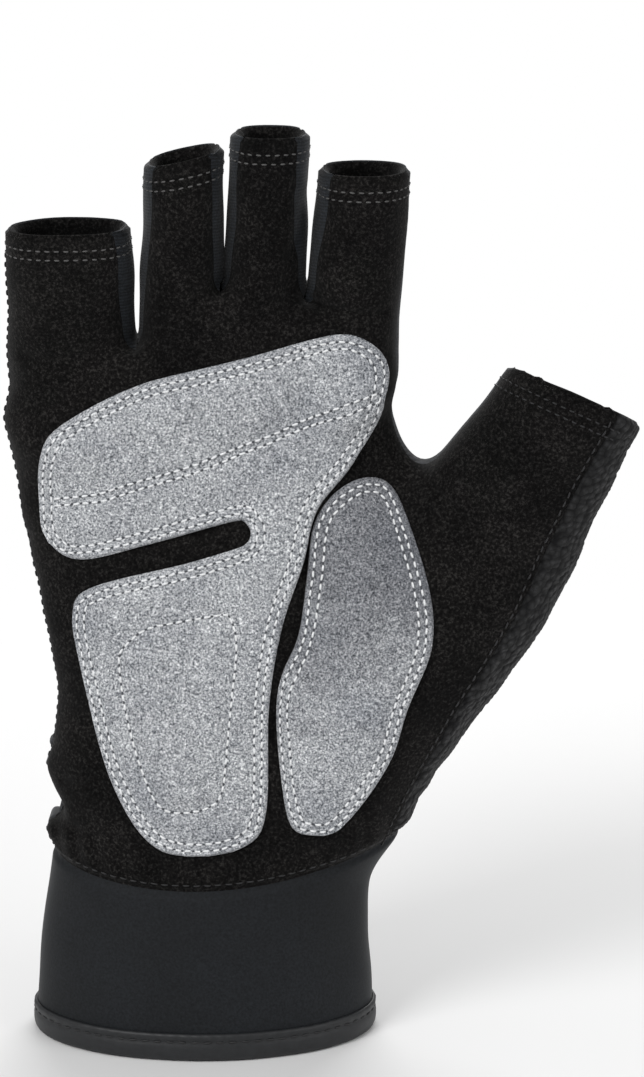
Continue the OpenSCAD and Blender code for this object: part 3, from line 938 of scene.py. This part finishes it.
# ---- The fingers ----
def blend_finger(piece, f):
    low, high = BLEND_Z[f]
    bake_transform(piece)


FINGER_FIELD = {f: one_finger_field(f) for f in FINGERS}
WALL_NAMES = {"index": ("index_wall", None), "middle": ("middle_wall_ring_side", "middle_wall_index_side"),
              "ring": ("ring_wall_little_side", "ring_wall_middle_side"), "little": (None, "little_wall")}


def make_finger(f):
    field, opening = FINGER_FIELD[f], finger_opening(f)
    left, right = LIMITS[f]
    s = SHAPE[f]
    low = (max(left, -46) - 2.5, -36, CUT_Z[f] - 4)
    high = (min(right, 50) + 2.5, 22, s["top"] + 6)
    points, tris = mesh_field(field, low, high)
    front_end, back_end = [wall_line(f, WALL_FRONT, WALL_BACK, on_front) for on_front in (True, False)]
    for line in (flat_side(0, left), flat_side(0, right), flat_side(2, CUT_Z[f]), opening,
                 lambda p: opening(p) + RIM, front_end, back_end):
        points, tris = cut(points, tris, field, line)
    c = middles(points, tris)
    free = c[:, 2] > crotch_height(c[:, 0]) + 2.5        # past the web, a stall may lean over its border
    inside = ((c[:, 0] > left) & (c[:, 0] < right) | free) & (c[:, 2] > CUT_Z[f]) & (opening(c) < 0)
    side = at_finger(f, c)[0]
    front, back = front_end(c) < 0, back_end(c) > 0

    def drop(p):
        near = np.minimum(np.abs(front_end(p)), np.abs(back_end(p)))
        return seam_drop(near, 0.45, 0.8) + round_over(-opening(p), RIM)

    groups = [(f + "_front", front, SUEDE, SUEDE_M, "suede", [f + "_front"]),
              (f + "_back", back & ~front, KNIT, KNIT_M, "knit", [f + "_back", f + "_knuckle"])]
    groups += [(name, ~front & ~back & (side * sign > 0), KNIT, GUSSET_M, "knit", [name])
               for name, sign in zip(WALL_NAMES[f], (-1, 1))]
    for name, keep, thickness, mat, slot, nodes in groups:
        if name and (inside & keep).any():
            piece = panel(name, inside & keep, thickness, mat, slot, None, nodes, points, tris, field, drop)
            blend_finger(piece, f)
    return part_of(points, tris, inside)


FINGER_MESH = {f: make_finger(f) for f in FINGERS}


# ---- Lines on the skin ----
def hit(field, starts, direction, reach=60.0, step=0.75):
    """First skin points met from each start along a direction."""
    direction = np.broadcast_to(np.asarray(direction, float), starts.shape)
    low = np.zeros(len(starts))
    open_still = np.ones(len(starts), bool)
    for _ in range(int(reach / step)):
        ahead = field(starts + direction * (low + step)[:, None]) > 0
        low = np.where(open_still & ahead, low + step, low)
        open_still &= ahead
    high = low + step
    for _ in range(10):
        middle = (low + high) / 2
        outside = field(starts + direction * middle[:, None]) > 0
        low, high = np.where(outside, middle, low), np.where(outside, high, middle)
    return starts + direction * low[:, None]


def front_points(field, x, z):
    """Points of the palm side at places of the front view."""
    starts = np.stack([x, np.full(np.shape(x), -44.0), z], axis=1)
    return hit(field, starts, (0, 1, 0))


def ring_points(field, middle, u, v, count=240):
    """The skin's outline in the plane through a point inside it."""
    angle = np.linspace(0, 2 * math.pi, count + 1)
    out = np.cos(angle)[:, None] * u + np.sin(angle)[:, None] * v
    return hit(lambda p: -field(p), np.repeat(middle[None], count + 1, axis=0), out, 40, 0.6)


def spaced(line, pitch, length, shift=0.0):
    """Ends of the stitches that fit on a line of points, shifted by a part of the pitch."""
    run = np.concatenate([[0], np.cumsum(np.linalg.norm(np.diff(line, axis=0), axis=1))])
    count = max(int(run[-1] / pitch), 1)
    starts = (np.arange(count) + 0.5 + shift) * run[-1] / count
    ends = [np.stack([np.interp(starts + side * length / 2, run, line[:, k]) for k in range(3)], axis=1)
            for side in (-1, 1)]
    return ends


def closed_curve(points, steps=6):
    """A smooth closed curve through corner points, as in the CAD part."""
    p = np.array(points, float)
    a, b, c, d = np.roll(p, 1, 0), p, np.roll(p, -1, 0), np.roll(p, -2, 0)
    rows = []
    for k in range(steps):
        t = k / steps
        rows.append(0.5 * (2 * b + (c - a) * t + (2 * a - 5 * b + 4 * c - d) * t * t
                           + (3 * b - a - 3 * c + d) * t ** 3))
    return np.stack(rows, axis=1).reshape(-1, 2)


def inside_distance(x, z, outline):
    """Distance from a closed outline in the front view, positive inside it."""
    ring = [tuple(p) for p in outline] + [tuple(outline[0])]
    d, _ = polyline_distance(x, z, ring)
    inside = np.zeros(np.shape(x), bool)
    for (ax, az), (bx, bz) in zip(ring, ring[1:]):
        if az != bz:
            crosses = (az > z) != (bz > z)
            inside ^= crosses & (x < ax + (z - az) * (bx - ax) / (bz - az))
    return np.where(inside, d, -d)


def inset(outline, depth):
    """The line a depth inside a closed outline, without its loops at sharp corners."""
    ring = np.vstack([outline, outline[:1]])
    fine = np.vstack([ring[:-1] + (ring[1:] - ring[:-1]) * t for t in (0, 0.5)])
    fine = fine.reshape(2, -1, 2).swapaxes(0, 1).reshape(-1, 2)
    along = np.roll(fine, -1, 0) - np.roll(fine, 1, 0)
    normal = unit(np.stack([-along[:, 1], along[:, 0]], axis=1), 1e-9)
    candidates = [fine + side * depth * normal for side in (-1, 1)]
    inner = max(candidates, key=lambda c: inside_distance(c[:, 0], c[:, 1], outline).mean())
    inner = inner[inside_distance(inner[:, 0], inner[:, 1], outline) > depth - 0.12]
    return np.vstack([inner, inner[:1]])


STITCH_T = np.array([0, 0.06, 0.2, 0.5, 0.8, 0.94, 1.0])
STITCH_SIDES = 7
# Pitch, length and thickness of the stitches.
HEM_STITCH = 2.0, 1.25, 0.2
BINDING_STITCH = 2.8, 1.9, 0.24
EDGE_STITCH = 2.2, 1.5, 0.24
TOWEL_STITCH = 2.3, 1.6, 0.22
CUFF_STITCH = 2.4, 1.6, 0.2
SEAM_LIFT = 0.05                   # height of the seams' stitches over the skin
HEM_LIFT = -0.02


def stitch_mesh(p0, p1, normals, width):
    """Rounded stitches that dip into the cloth at both ends."""
    along = p1 - p0
    across = unit(np.cross(normals, along), 1e-9)
    rings = []
    for t in STITCH_T:
        u = abs(2 * t - 1)
        r = width * math.sqrt(max(1 - u ** 3, 0.02))
        middle = p0 + along * t + normals * (0.28 * width - 0.9 * width * u ** 4)
        for k in range(STITCH_SIDES):
            a = 2 * math.pi * k / STITCH_SIDES
            rings.append(middle + across * (r * math.cos(a)) + normals * (0.8 * r * math.sin(a)))
    count = len(STITCH_T) * STITCH_SIDES
    points = np.stack(rings, axis=1).reshape(-1, 3)
    faces = []
    for i in range(len(STITCH_T) - 1):
        for k in range(STITCH_SIDES):
            a, b = i * STITCH_SIDES + k, i * STITCH_SIDES + (k + 1) % STITCH_SIDES
            faces.append((a, b, b + STITCH_SIDES, a + STITCH_SIDES))
    first = [tuple(reversed(range(STITCH_SIDES)))]
    last = [tuple(range(count - STITCH_SIDES, count))]
    one = [tuple(reversed(f)) for f in faces + first + last]
    everything = [tuple(i + n * count for i in f) for n in range(len(p0)) for f in one]
    return points, everything


def sew(name, lines, field, height, mat, body, pitch=2.1, length=1.45, width=0.26, shift=0.0):
    """Rows of stitches on the skin, along lines of skin points, at a height above it."""
    ends = [spaced(np.asarray(line), pitch, length, shift) for line in lines if len(line) > 2]
    p0 = np.vstack([e[0] for e in ends])
    p1 = np.vstack([e[1] for e in ends])
    middle = (p0 + p1) / 2
    n = unit(gradient(field, middle))
    lift = height(middle) if callable(height) else np.full(len(middle), height)
    turn = RNG.uniform(-0.07, 0.07, len(p0))[:, None] * np.cross(n, p1 - p0)
    lift = (lift + RNG.uniform(-0.04, 0.04, len(p0)))[:, None] * n
    points, faces = stitch_mesh(p0 + lift - turn, p1 + lift + turn, n, width)
    return new_object(name, points, faces, body, mat)


# ---- The grey patches and their stitching ----
PALM_PATCH = closed_curve([
    (-35.5, 125), (-34.8, 136), (-30, 143), (-13, 151.8), (7, 157), (22, 161), (33, 162.6), (40, 157),
    (39.5, 147), (33, 134), (25.3, 124.3), (22.3, 113), (17.2, 97), (14.6, 80), (14.1, 58), (10, 50),
    (-2, 47.3), (-12, 50.6), (-20.5, 65), (-26, 86), (-28.4, 100), (-24, 106.8), (-4, 112.3), (7.4, 115.7),
    (10.2, 117.2), (11.1, 119.4), (10, 121.4), (7.2, 122), (-11, 117), (-27, 113), (-34, 117)])
THUMB_PATCH = closed_curve([
    (37.5, 130.6), (30.5, 128.6), (25, 121.5), (23.3, 109), (21.5, 96.5), (16.9, 85), (16.8, 72),
    (19.2, 55.5), (24, 52.2), (31, 54), (41, 68.5), (45, 81), (50.4, 95), (49.5, 109), (43.4, 126)])
HEEL_PAD = closed_curve([(4.5, 101.5), (-6, 99), (-15.5, 95), (-17.8, 87), (-14.7, 71.5), (-9.5, 59),
                         (-1, 57.3), (4.5, 61), (6.2, 80), (8, 97)])
HEEL_LINE = closed_curve([(4.4, 101.4), (-6.6, 99.4), (-12.1, 98.1), (-15.8, 95), (-17.8, 91.3),
                          (-16.3, 79.2), (-12.5, 66), (-8.8, 58.7), (-2, 57.9), (3.5, 60.3), (5.3, 68.2),
                          (6.2, 79.2), (7.9, 94.6), (6.2, 100.8)], 4)
CROSS_LINE = [(-32.1, 125.6), (-21.8, 126.9), (-12.8, 130.2), (0, 134.2), (13.2, 139.5), (28.2, 145.6),
              (38.5, 148.9)]
CROSS_GAP = 1.7
EDGE_ROWS = (1.35, 2.95)
FINE_SNAP = 0.08
PATCH_GAP = 0.12


def patch_height(outline, quilted=True):
    """Height of a patch's face over the skin: round at the edge, drawn in along its stitches."""
    def height(p):
        x, z = p[:, 0], p[:, 2]
        d = inside_distance(x, z, outline)
        h = PATCH_GAP + PATCH - round_over(d, 1.0)
        h -= seam_drop(d - EDGE_ROWS[0], 0.3, 0.5) + seam_drop(d - EDGE_ROWS[1], 0.36, 0.6)
        h += 0.35 * smooth((d - 3) / 5)
        if quilted:
            heel = inside_distance(x, z, HEEL_LINE)
            h += 0.7 * smooth((heel - 0.4) / 5) - seam_drop(heel, 0.4, 0.8)
            cross, _ = polyline_distance(x, z, CROSS_LINE)
            h -= seam_drop(cross, 0.42, 1.5)
        return h
    return height


def inside_of(outline):
    """Positive inside an outline of the front view."""
    return lambda p: inside_distance(p[..., 0], p[..., 2], outline)


def cross_line(p):
    """Zero beside the double row of stitches across the palm patch."""
    return polyline_distance(p[..., 0], p[..., 2], CROSS_LINE)[0] - 0.6


def trimmed(points, tris, line, levels):
    """The skin inside a line, cut again along lines at some depths inside it."""
    points, tris = cut(points, tris, whole_field, line)
    points, tris = part_of(points, tris, line(middles(points, tris)) > 0)
    for level in levels:
        points, tris = cut(points, tris, whole_field, lambda p: line(p) - level, FINE_SNAP)
    return points, tris


def sewn_patch(name, outline, height, mat, extra=()):
    """One patch of grip suede. Returns the rows of stitches along its edge."""
    near = (np.abs(C[:, 0] - outline[:, 0].mean()) < 60) & ~behind & (C[:, 2] > 44) & (C[:, 2] < 168)
    points, tris = part_of(POINTS, TRIS, near)
    line = inside_of(outline)
    points, tris = part_of(points, tris, line(middles(points, tris)) > -3)
    points, tris = trimmed(points, tris, line, (0.4, 0.9, EDGE_ROWS[0], 2.15, EDGE_ROWS[1], 3.9))
    for other in extra:
        points, tris = cut(points, tris, whole_field, other, FINE_SNAP)
    vertices, faces, normals = layer(points, tris, whole_field, PATCH_GAP, height(points), 0.15)
    new_object(name, vertices, faces, "hand", mat, "grip_suede", [name])
    return [front_points(whole_field, *inset(outline, depth).T) for depth in EDGE_ROWS]


def front_line(points):
    """Dense skin points under a line of the front view."""
    p = np.array(points, float)
    run = np.concatenate([[0], np.cumsum(np.linalg.norm(np.diff(p, axis=0), axis=1))])
    at = np.linspace(0, run[-1], int(run[-1] / 0.7))
    return front_points(whole_field, np.interp(at, run, p[:, 0]), np.interp(at, run, p[:, 1]))


def beside(points, gap):
    """A line of the front view moved sideways."""
    p = np.array(points, float)
    along = unit(np.gradient(p, axis=0))
    return p + gap * np.stack([-along[:, 1], along[:, 0]], axis=1)


def grip_patches():
    palm_height, thumb_height = patch_height(PALM_PATCH), patch_height(THUMB_PATCH, False)
    palm_rows = sewn_patch("palm_grip_patch", PALM_PATCH, palm_height, GRIP_M,
                           (inside_of(HEEL_LINE), cross_line))
    thumb_rows = sewn_patch("thumb_grip_patch", THUMB_PATCH, thumb_height, GRIP_THUMB_SHADED_M)
    palm_rows += [front_line(np.vstack([HEEL_LINE, HEEL_LINE[:1]]))]
    palm_rows += [front_line(beside(CROSS_LINE, side * CROSS_GAP / 2)) for side in (-1, 1)]
    for part, rows, face in (("palm", palm_rows, palm_height), ("thumb", thumb_rows, thumb_height)):
        sew(part + "_patch_stitches", rows, whole_field, lambda p: face(p) + 0.1, THREAD_LIGHT, "hand")
        # Painted shade: dark dashes sunk between the stitches, where the needle holes are.
        sew(part + "_patch_hole_shade_dashes", rows, whole_field, lambda p: face(p) - 0.08, NEEDLE_HOLE_SHADE, "hand",
            length=0.75, width=0.27, shift=0.5)


grip_patches()


# ---- Foam pad under the heel of the hand ----
FOAM_T = 2.0


def heel_foam():
    points, tris = part_of(POINTS, TRIS, ~behind & (np.abs(C[:, 0]) < 24) & (C[:, 2] > 52) & (C[:, 2] < 106))
    line = inside_of(HEEL_PAD)
    points, tris = trimmed(points, tris, line, (0.6, 1.6))
    top = -SUEDE - 0.1
    low = top - FOAM_T + round_over(line(points), 1.4)
    vertices, faces, normals = layer(points, tris, whole_field, low, top, 0.1)
    piece = new_object("heel_pad", vertices, faces, "hand", FOAM_M, "foam", ["heel_pad"])


heel_foam()


# ---- Badge on the back: a plain soft strip ----
BADGE_Z, BADGE_HALF, BADGE_ENDS, BADGE_CORNER, BADGE_T = 97, 4.5, (-46.5, 15), 2.2, 0.8


def badge_distance(p):
    """Distance inside the strip's outline, measured along the skin where it wraps round the hand's side."""
    run = p[..., 0] - 0.8 * np.maximum(17 - p[..., 1], 0) * smooth((5 - p[..., 0]) / 20)
    half, middle = (BADGE_ENDS[1] - BADGE_ENDS[0]) / 2, sum(BADGE_ENDS) / 2
    dx = np.abs(run - middle) - half + BADGE_CORNER
    dz = np.abs(p[..., 2] - BADGE_Z) - BADGE_HALF + BADGE_CORNER
    outer = np.hypot(np.maximum(dx, 0), np.maximum(dz, 0)) + np.minimum(np.maximum(dx, dz), 0)
    return BADGE_CORNER - outer


def back_badge():
    near = (C[:, 1] > -6) & (np.abs(C[:, 2] - BADGE_Z) < 9) & (C[:, 0] < 22)
    points, tris = part_of(POINTS, TRIS, near)
    points, tris = trimmed(points, tris, badge_distance, (0.4, 0.8, 1.2, 1.6))
    d = badge_distance(points)
    top = 0.1 + BADGE_T - round_over(d, 0.6) - 0.22 * smooth((d - 1.1) / 0.4)
    vertices, faces, normals = layer(points, tris, whole_field, 0.1, top, 0.12)
    new_object("back_badge", vertices, faces, "hand", BADGE_M, "badge", ["back_badge"])


back_badge()


# ---- Wrist elastic: knit drawn in by rows of elastic ----
def gathered(p):
    """Height of the gathered knit: upright puckers between level rows of elastic."""
    low, high, end = ELASTIC
    rows = np.abs(np.sin((p[:, 2] - low) / (high - low) * 5 * math.pi))
    around = p[:, 0] + 1.3 * np.sin(p[:, 2] * 0.55) + 0.9 * np.sin(p[:, 2] * 0.23 + p[:, 0] * 0.11)
    puckers = 0.5 + 0.5 * np.sin(2 * math.pi * around / 3.4 + 0.8 * np.sin(p[:, 0] * 0.4))
    edge = np.minimum(np.minimum(p[:, 2] - low, high - p[:, 2]), end - p[:, 0])
    return (1.5 * rows ** 0.7 * (0.25 + 0.75 * puckers) - 0.6) * smooth(edge / 1.2)


def wrist_elastic():
    p, t = part_of(POINTS, TRIS, is_hand & above_seam & in_elastic)
    for _ in range(2):
        p, t = split_once(p, t, whole_field)
    vertices, faces, normals = layer(p, t, whole_field, -2.2, gathered(p) - edge_drop(p), 0.3)
    new_object("wrist_elastic", vertices, faces, "hand", ELASTIC_M, "elastic", ["wrist_elastic"])


wrist_elastic()


# ---- Turned hems inside the openings, and the stitches that hold them ----
HEM_LENGTH = 7.0
HEM_GAP = 0.02
HEM_ROWS = (3.0, 5.0)


def hem(name, points, tris, field, opening, thickness, body):
    """The strip turned in below an opening, against the inside of a panel of some thickness."""
    points, tris = cut(points, tris, field, lambda p: opening(p) + HEM_LENGTH)
    c = middles(points, tris)
    p, t = part_of(points, tris, (opening(c) + HEM_LENGTH > 0) & (opening(c) < 0))
    top = -thickness - HEM_GAP
    low = top - HEM + round_over(-opening(p), 0.8) * 0.9
    vertices, faces, normals = layer(p, t, field, low, top, 0.2)
    new_object(name, vertices, faces, body, SUEDE_M, "hem", [name])


def opening_ring(field, opening, middle, across, level):
    """Skin outline at a distance below an opening."""
    normal = gradient(opening, middle[None])[0]
    normal /= np.linalg.norm(normal)
    u = across - normal * (across @ normal)
    u /= np.linalg.norm(u)
    centre = middle - normal * ((opening(middle[None])[0]) + level)
    return ring_points(field, centre, u, np.cross(normal, u))


def sewn_hem(part, mesh, field, opening, thickness, middle, across, thread):
    hem(part + "_hem", *mesh, field, opening, thickness, part + "_stall")
    rings = [opening_ring(field, opening, middle, across, level) for level in HEM_ROWS]
    sew(part + "_hem_stitches", rings, field, HEM_LIFT, thread, part + "_stall", *HEM_STITCH)


def finger_hem(f):
    s = SHAPE[f]
    across, _, along = s["axes"]
    middle = s["root"] + along * (s["top"] - 3 - s["root"][2]) / along[2]
    sewn_hem(f, FINGER_MESH[f], FINGER_FIELD[f], finger_opening(f), KNIT, middle, across, THREAD_HEM)


def thumb_hem():
    mesh = part_of(POINTS, TRIS, is_thumb & short_of_tip)
    middle = THUMB_ROOT + THUMB_END * THUMB_ALONG
    middle = middle + np.array([0, thumb_middle(middle[None])[0] - middle[1], 0])
    sewn_hem("thumb", mesh, whole_field, thumb_opening, TOWEL, middle, THUMB_ACROSS, THREAD_DARK)


for f in FINGERS:
    finger_hem(f)
thumb_hem()


# ---- Binding round the cuff's mouth ----
# The tape's section, as (distance out from the cuff's face, height).
BINDING_SECTION = [
    (0.05, 6.45), (0.35, 6.5), (0.7, 6.35), (0.9, 5.9), (0.86, 5.2), (0.62, 4.75), (0.6, 4.45),
    (0.84, 4.0), (0.95, 3.2), (0.95, 2.0), (0.8, 1.0), (0.45, 0.35), (-0.2, 0.0), (-1.8, 0.0),
    (-2.4, 0.35), (-2.75, 1.0), (-2.9, 2.0), (-2.9, 5.6), (-2.65, 6.2), (-2.3, 6.45), (-2.05, 6.3),
    (-2.05, 0.95), (0.0, 0.95)]
BINDING_ROW = 4.6


def binding_ring(height, count=400):
    """The cuff's outline at a height, and its outward directions."""
    middle, across, deep = np.array([[0, 0, height], [1.0, 0, 0], [0, 1.0, 0]])
    ring = ring_points(whole_field, middle, across, deep, count)
    n = gradient(whole_field, ring)
    n[:, 2] = 0
    return ring, unit(n)


def cuff_binding():
    count = 400
    rings = []
    for out, z in BINDING_SECTION:
        ring, n = binding_ring(max(z, 1.0), count)
        ripple = 0.05 * np.sin(np.arange(count) * 2 * math.pi / count * 61) * (z > 5)
        points = ring[:-1] + n[:-1] * (out + ripple * (out > 0.3))[:, None]
        points[:, 2] = z
        rings.append(points)
    sides = len(rings)
    points = np.stack(rings, axis=1).reshape(-1, 3)
    faces = []
    for i in range(count):
        j = (i + 1) % count
        for k in range(sides):
            m = (k + 1) % sides
            faces.append((i * sides + k, i * sides + m, j * sides + m, j * sides + k))
    new_object("cuff_binding", points, faces, "hand", BINDING_M, "binding", ["cuff_binding"])
    ring, _ = binding_ring(BINDING_ROW)
    sew("binding_stitches", [ring], whole_field, 0.68, THREAD_DARK, "hand", *BINDING_STITCH)


cuff_binding()


# ---- Stitches along the seams ----
def seam_line(z, x, y, direction):
    starts = np.stack(np.broadcast_arrays(x, y, z), axis=1).astype(float)
    return hit(whole_field, starts, direction)


def cuff_line():
    """Skin points round the hand, just above the seam with the cuff."""
    ring, _ = binding_ring(CUFF_TOP - 2, 300)
    for _ in range(4):
        level = cuff_seam(ring[:, 0]) + 1.6
        starts = np.stack([0 * level, 0 * level, level], axis=1)
        out = ring - starts
        out[:, 2] = 0
        ring = hit(lambda p: -whole_field(p), starts, unit(out), 60, 0.6)
    return ring


def edge_stitches():
    """Up the little finger's side of the hand, beside the seam of palm and back."""
    z = np.arange(CUFF_TOP + 3, 181, 0.7)
    little_line = wall_line("little", WALL_FRONT, WALL_BACK, True)
    y = np.full(z.shape, -4.0)
    for _ in range(4):
        line = seam_line(z, -58.0, y, (1, 0, 0))
        y = y - 1.4 - np.where(z < CUT_Z["little"], palm_back_seam(line), little_line(line))
    hand_part, stall_part = line[z < 150], line[z >= 150]
    sew("edge_stitches", [hand_part], whole_field, SEAM_LIFT, THREAD_DARK, "hand", *EDGE_STITCH)
    on_stall = sew("edge_stitches_little", [stall_part], whole_field, SEAM_LIFT, THREAD_DARK, None,
                   *EDGE_STITCH)
    blend_finger(on_stall, "little")


def towel_stitches():
    """Along the front of the towelling, on the hand and on the thumb."""
    z = np.arange(CUFF_TOP + 4, 160, 0.7)
    x, = curve(z, TOWEL_FRONT)
    line = seam_line(z, x - 1.5, np.full(z.shape, -50.0), (0, 1, 0))
    on_thumb = past_crease(line) > 0
    hand_part, stall_part = line[~on_thumb], line[on_thumb & (thumb_opening(line) < -1)]
    sew("towel_seam_stitches", [hand_part], whole_field, SEAM_LIFT, THREAD_DARK, "hand", *TOWEL_STITCH)
    bend_thumb(sew("thumb_seam_stitches", [stall_part], whole_field, SEAM_LIFT, THREAD_DARK, None,
                   *TOWEL_STITCH))


edge_stitches()
towel_stitches()
sew("cuff_seam_stitches", [cuff_line()], whole_field, SEAM_LIFT, THREAD_DARK, "hand", *CUFF_STITCH)


# ---- Floor, lights and camera ----
FLOOR_RADIUS, FLOOR_FADE = 0.5, (0.16, 0.49)
VIEW_ANGLE = 12.0                 # degrees above level, as in the photograph
DISTANCE, AIM = 0.7, Vector((0.0265, 0.0, 0.1145))
LENS_WIDTH, VIEW_HEIGHT = 36.0, 0.2417      # the picture's long side, at the glove


AMBIENT = 0.42                    # strength of the world as a light


def floor_material():
    """Pale floor that fades into the white background away from the glove."""
    mat, tree, shader = material("floor", (0.8, 0.8, 0.8), 0.9)
    where = add(tree, "ShaderNodeVectorMath", operation="LENGTH")
    tree.links.new(place(tree), where.inputs[0])
    fade = add(tree, "ShaderNodeMapRange", interpolation_type="SMOOTHSTEP")
    fade.inputs["From Min"].default_value, fade.inputs["From Max"].default_value = FLOOR_FADE
    tree.links.new(where.outputs["Value"], fade.inputs["Value"])
    clear = tree.nodes.new("ShaderNodeBsdfTransparent")
    blend = tree.nodes.new("ShaderNodeMixShader")
    tree.links.new(fade.outputs["Result"], blend.inputs["Fac"])
    tree.links.new(shader.outputs["BSDF"], blend.inputs[1])
    tree.links.new(clear.outputs["BSDF"], blend.inputs[2])
    tree.links.new(blend.outputs["Shader"], tree.nodes["Material Output"].inputs["Surface"])
    return mat


def floor():
    count = 64
    angle = np.linspace(0, 2 * math.pi, count, endpoint=False)
    points = np.stack([np.cos(angle), np.sin(angle), 0 * angle], axis=1) * FLOOR_RADIUS / MM
    points[:, 2] = -0.05
    piece = new_object("floor", points, [tuple(range(count))], None, floor_material())


def world():
    """White to the camera, softer grey as a light."""
    made = bpy.data.worlds.new("studio")
    bpy.context.scene.world = made
    made.use_nodes = True
    tree = made.node_tree
    background = tree.nodes["Background"]
    path = tree.nodes.new("ShaderNodeLightPath")
    seen = add(tree, "ShaderNodeMath", operation="MAXIMUM")
    tree.links.new(path.outputs["Is Camera Ray"], seen.inputs[0])
    tree.links.new(path.outputs["Is Transmission Ray"], seen.inputs[1])
    level = add(tree, "ShaderNodeMapRange")
    level.inputs["To Min"].default_value = AMBIENT
    tree.links.new(seen.outputs["Value"], level.inputs["Value"])
    tree.links.new(level.outputs["Result"], background.inputs["Strength"])
    background.inputs["Color"].default_value = (1, 1, 1, 1)


# Area lamps: place in metres, side in metres, power in watts.
LAMPS = {"key": ((-0.55, -0.75, 0.75), 0.5, 7.5), "fill": ((0.75, -0.45, 0.45), 0.6, 2.2),
         "rim": ((0.1, 0.75, 0.75), 0.7, 7.0)}


def aimed(name, data, at):
    """A lamp's or camera's object, turned to the glove."""
    holder = bpy.data.objects.new(name, data)
    bpy.context.scene.collection.objects.link(holder)
    holder.location = at
    holder.rotation_euler = (AIM - Vector(at)).to_track_quat("-Z", "Y").to_euler()
    return holder


def lamps():
    for name, (at, side, power) in LAMPS.items():
        lamp = bpy.data.lights.new(name, "AREA")
        lamp.energy, lamp.size = power, side
        aimed(name, lamp, at)


def camera():
    lens = bpy.data.cameras.new("camera")
    rise = math.radians(VIEW_ANGLE)
    at = AIM + DISTANCE * Vector((0, -math.cos(rise), math.sin(rise)))
    bpy.context.scene.camera = aimed("camera", lens, at)
    lens.sensor_width = LENS_WIDTH
    lens.lens = LENS_WIDTH * DISTANCE / VIEW_HEIGHT


floor()
world()
lamps()
camera()
bpy.context.scene.view_settings.view_transform = "Standard"
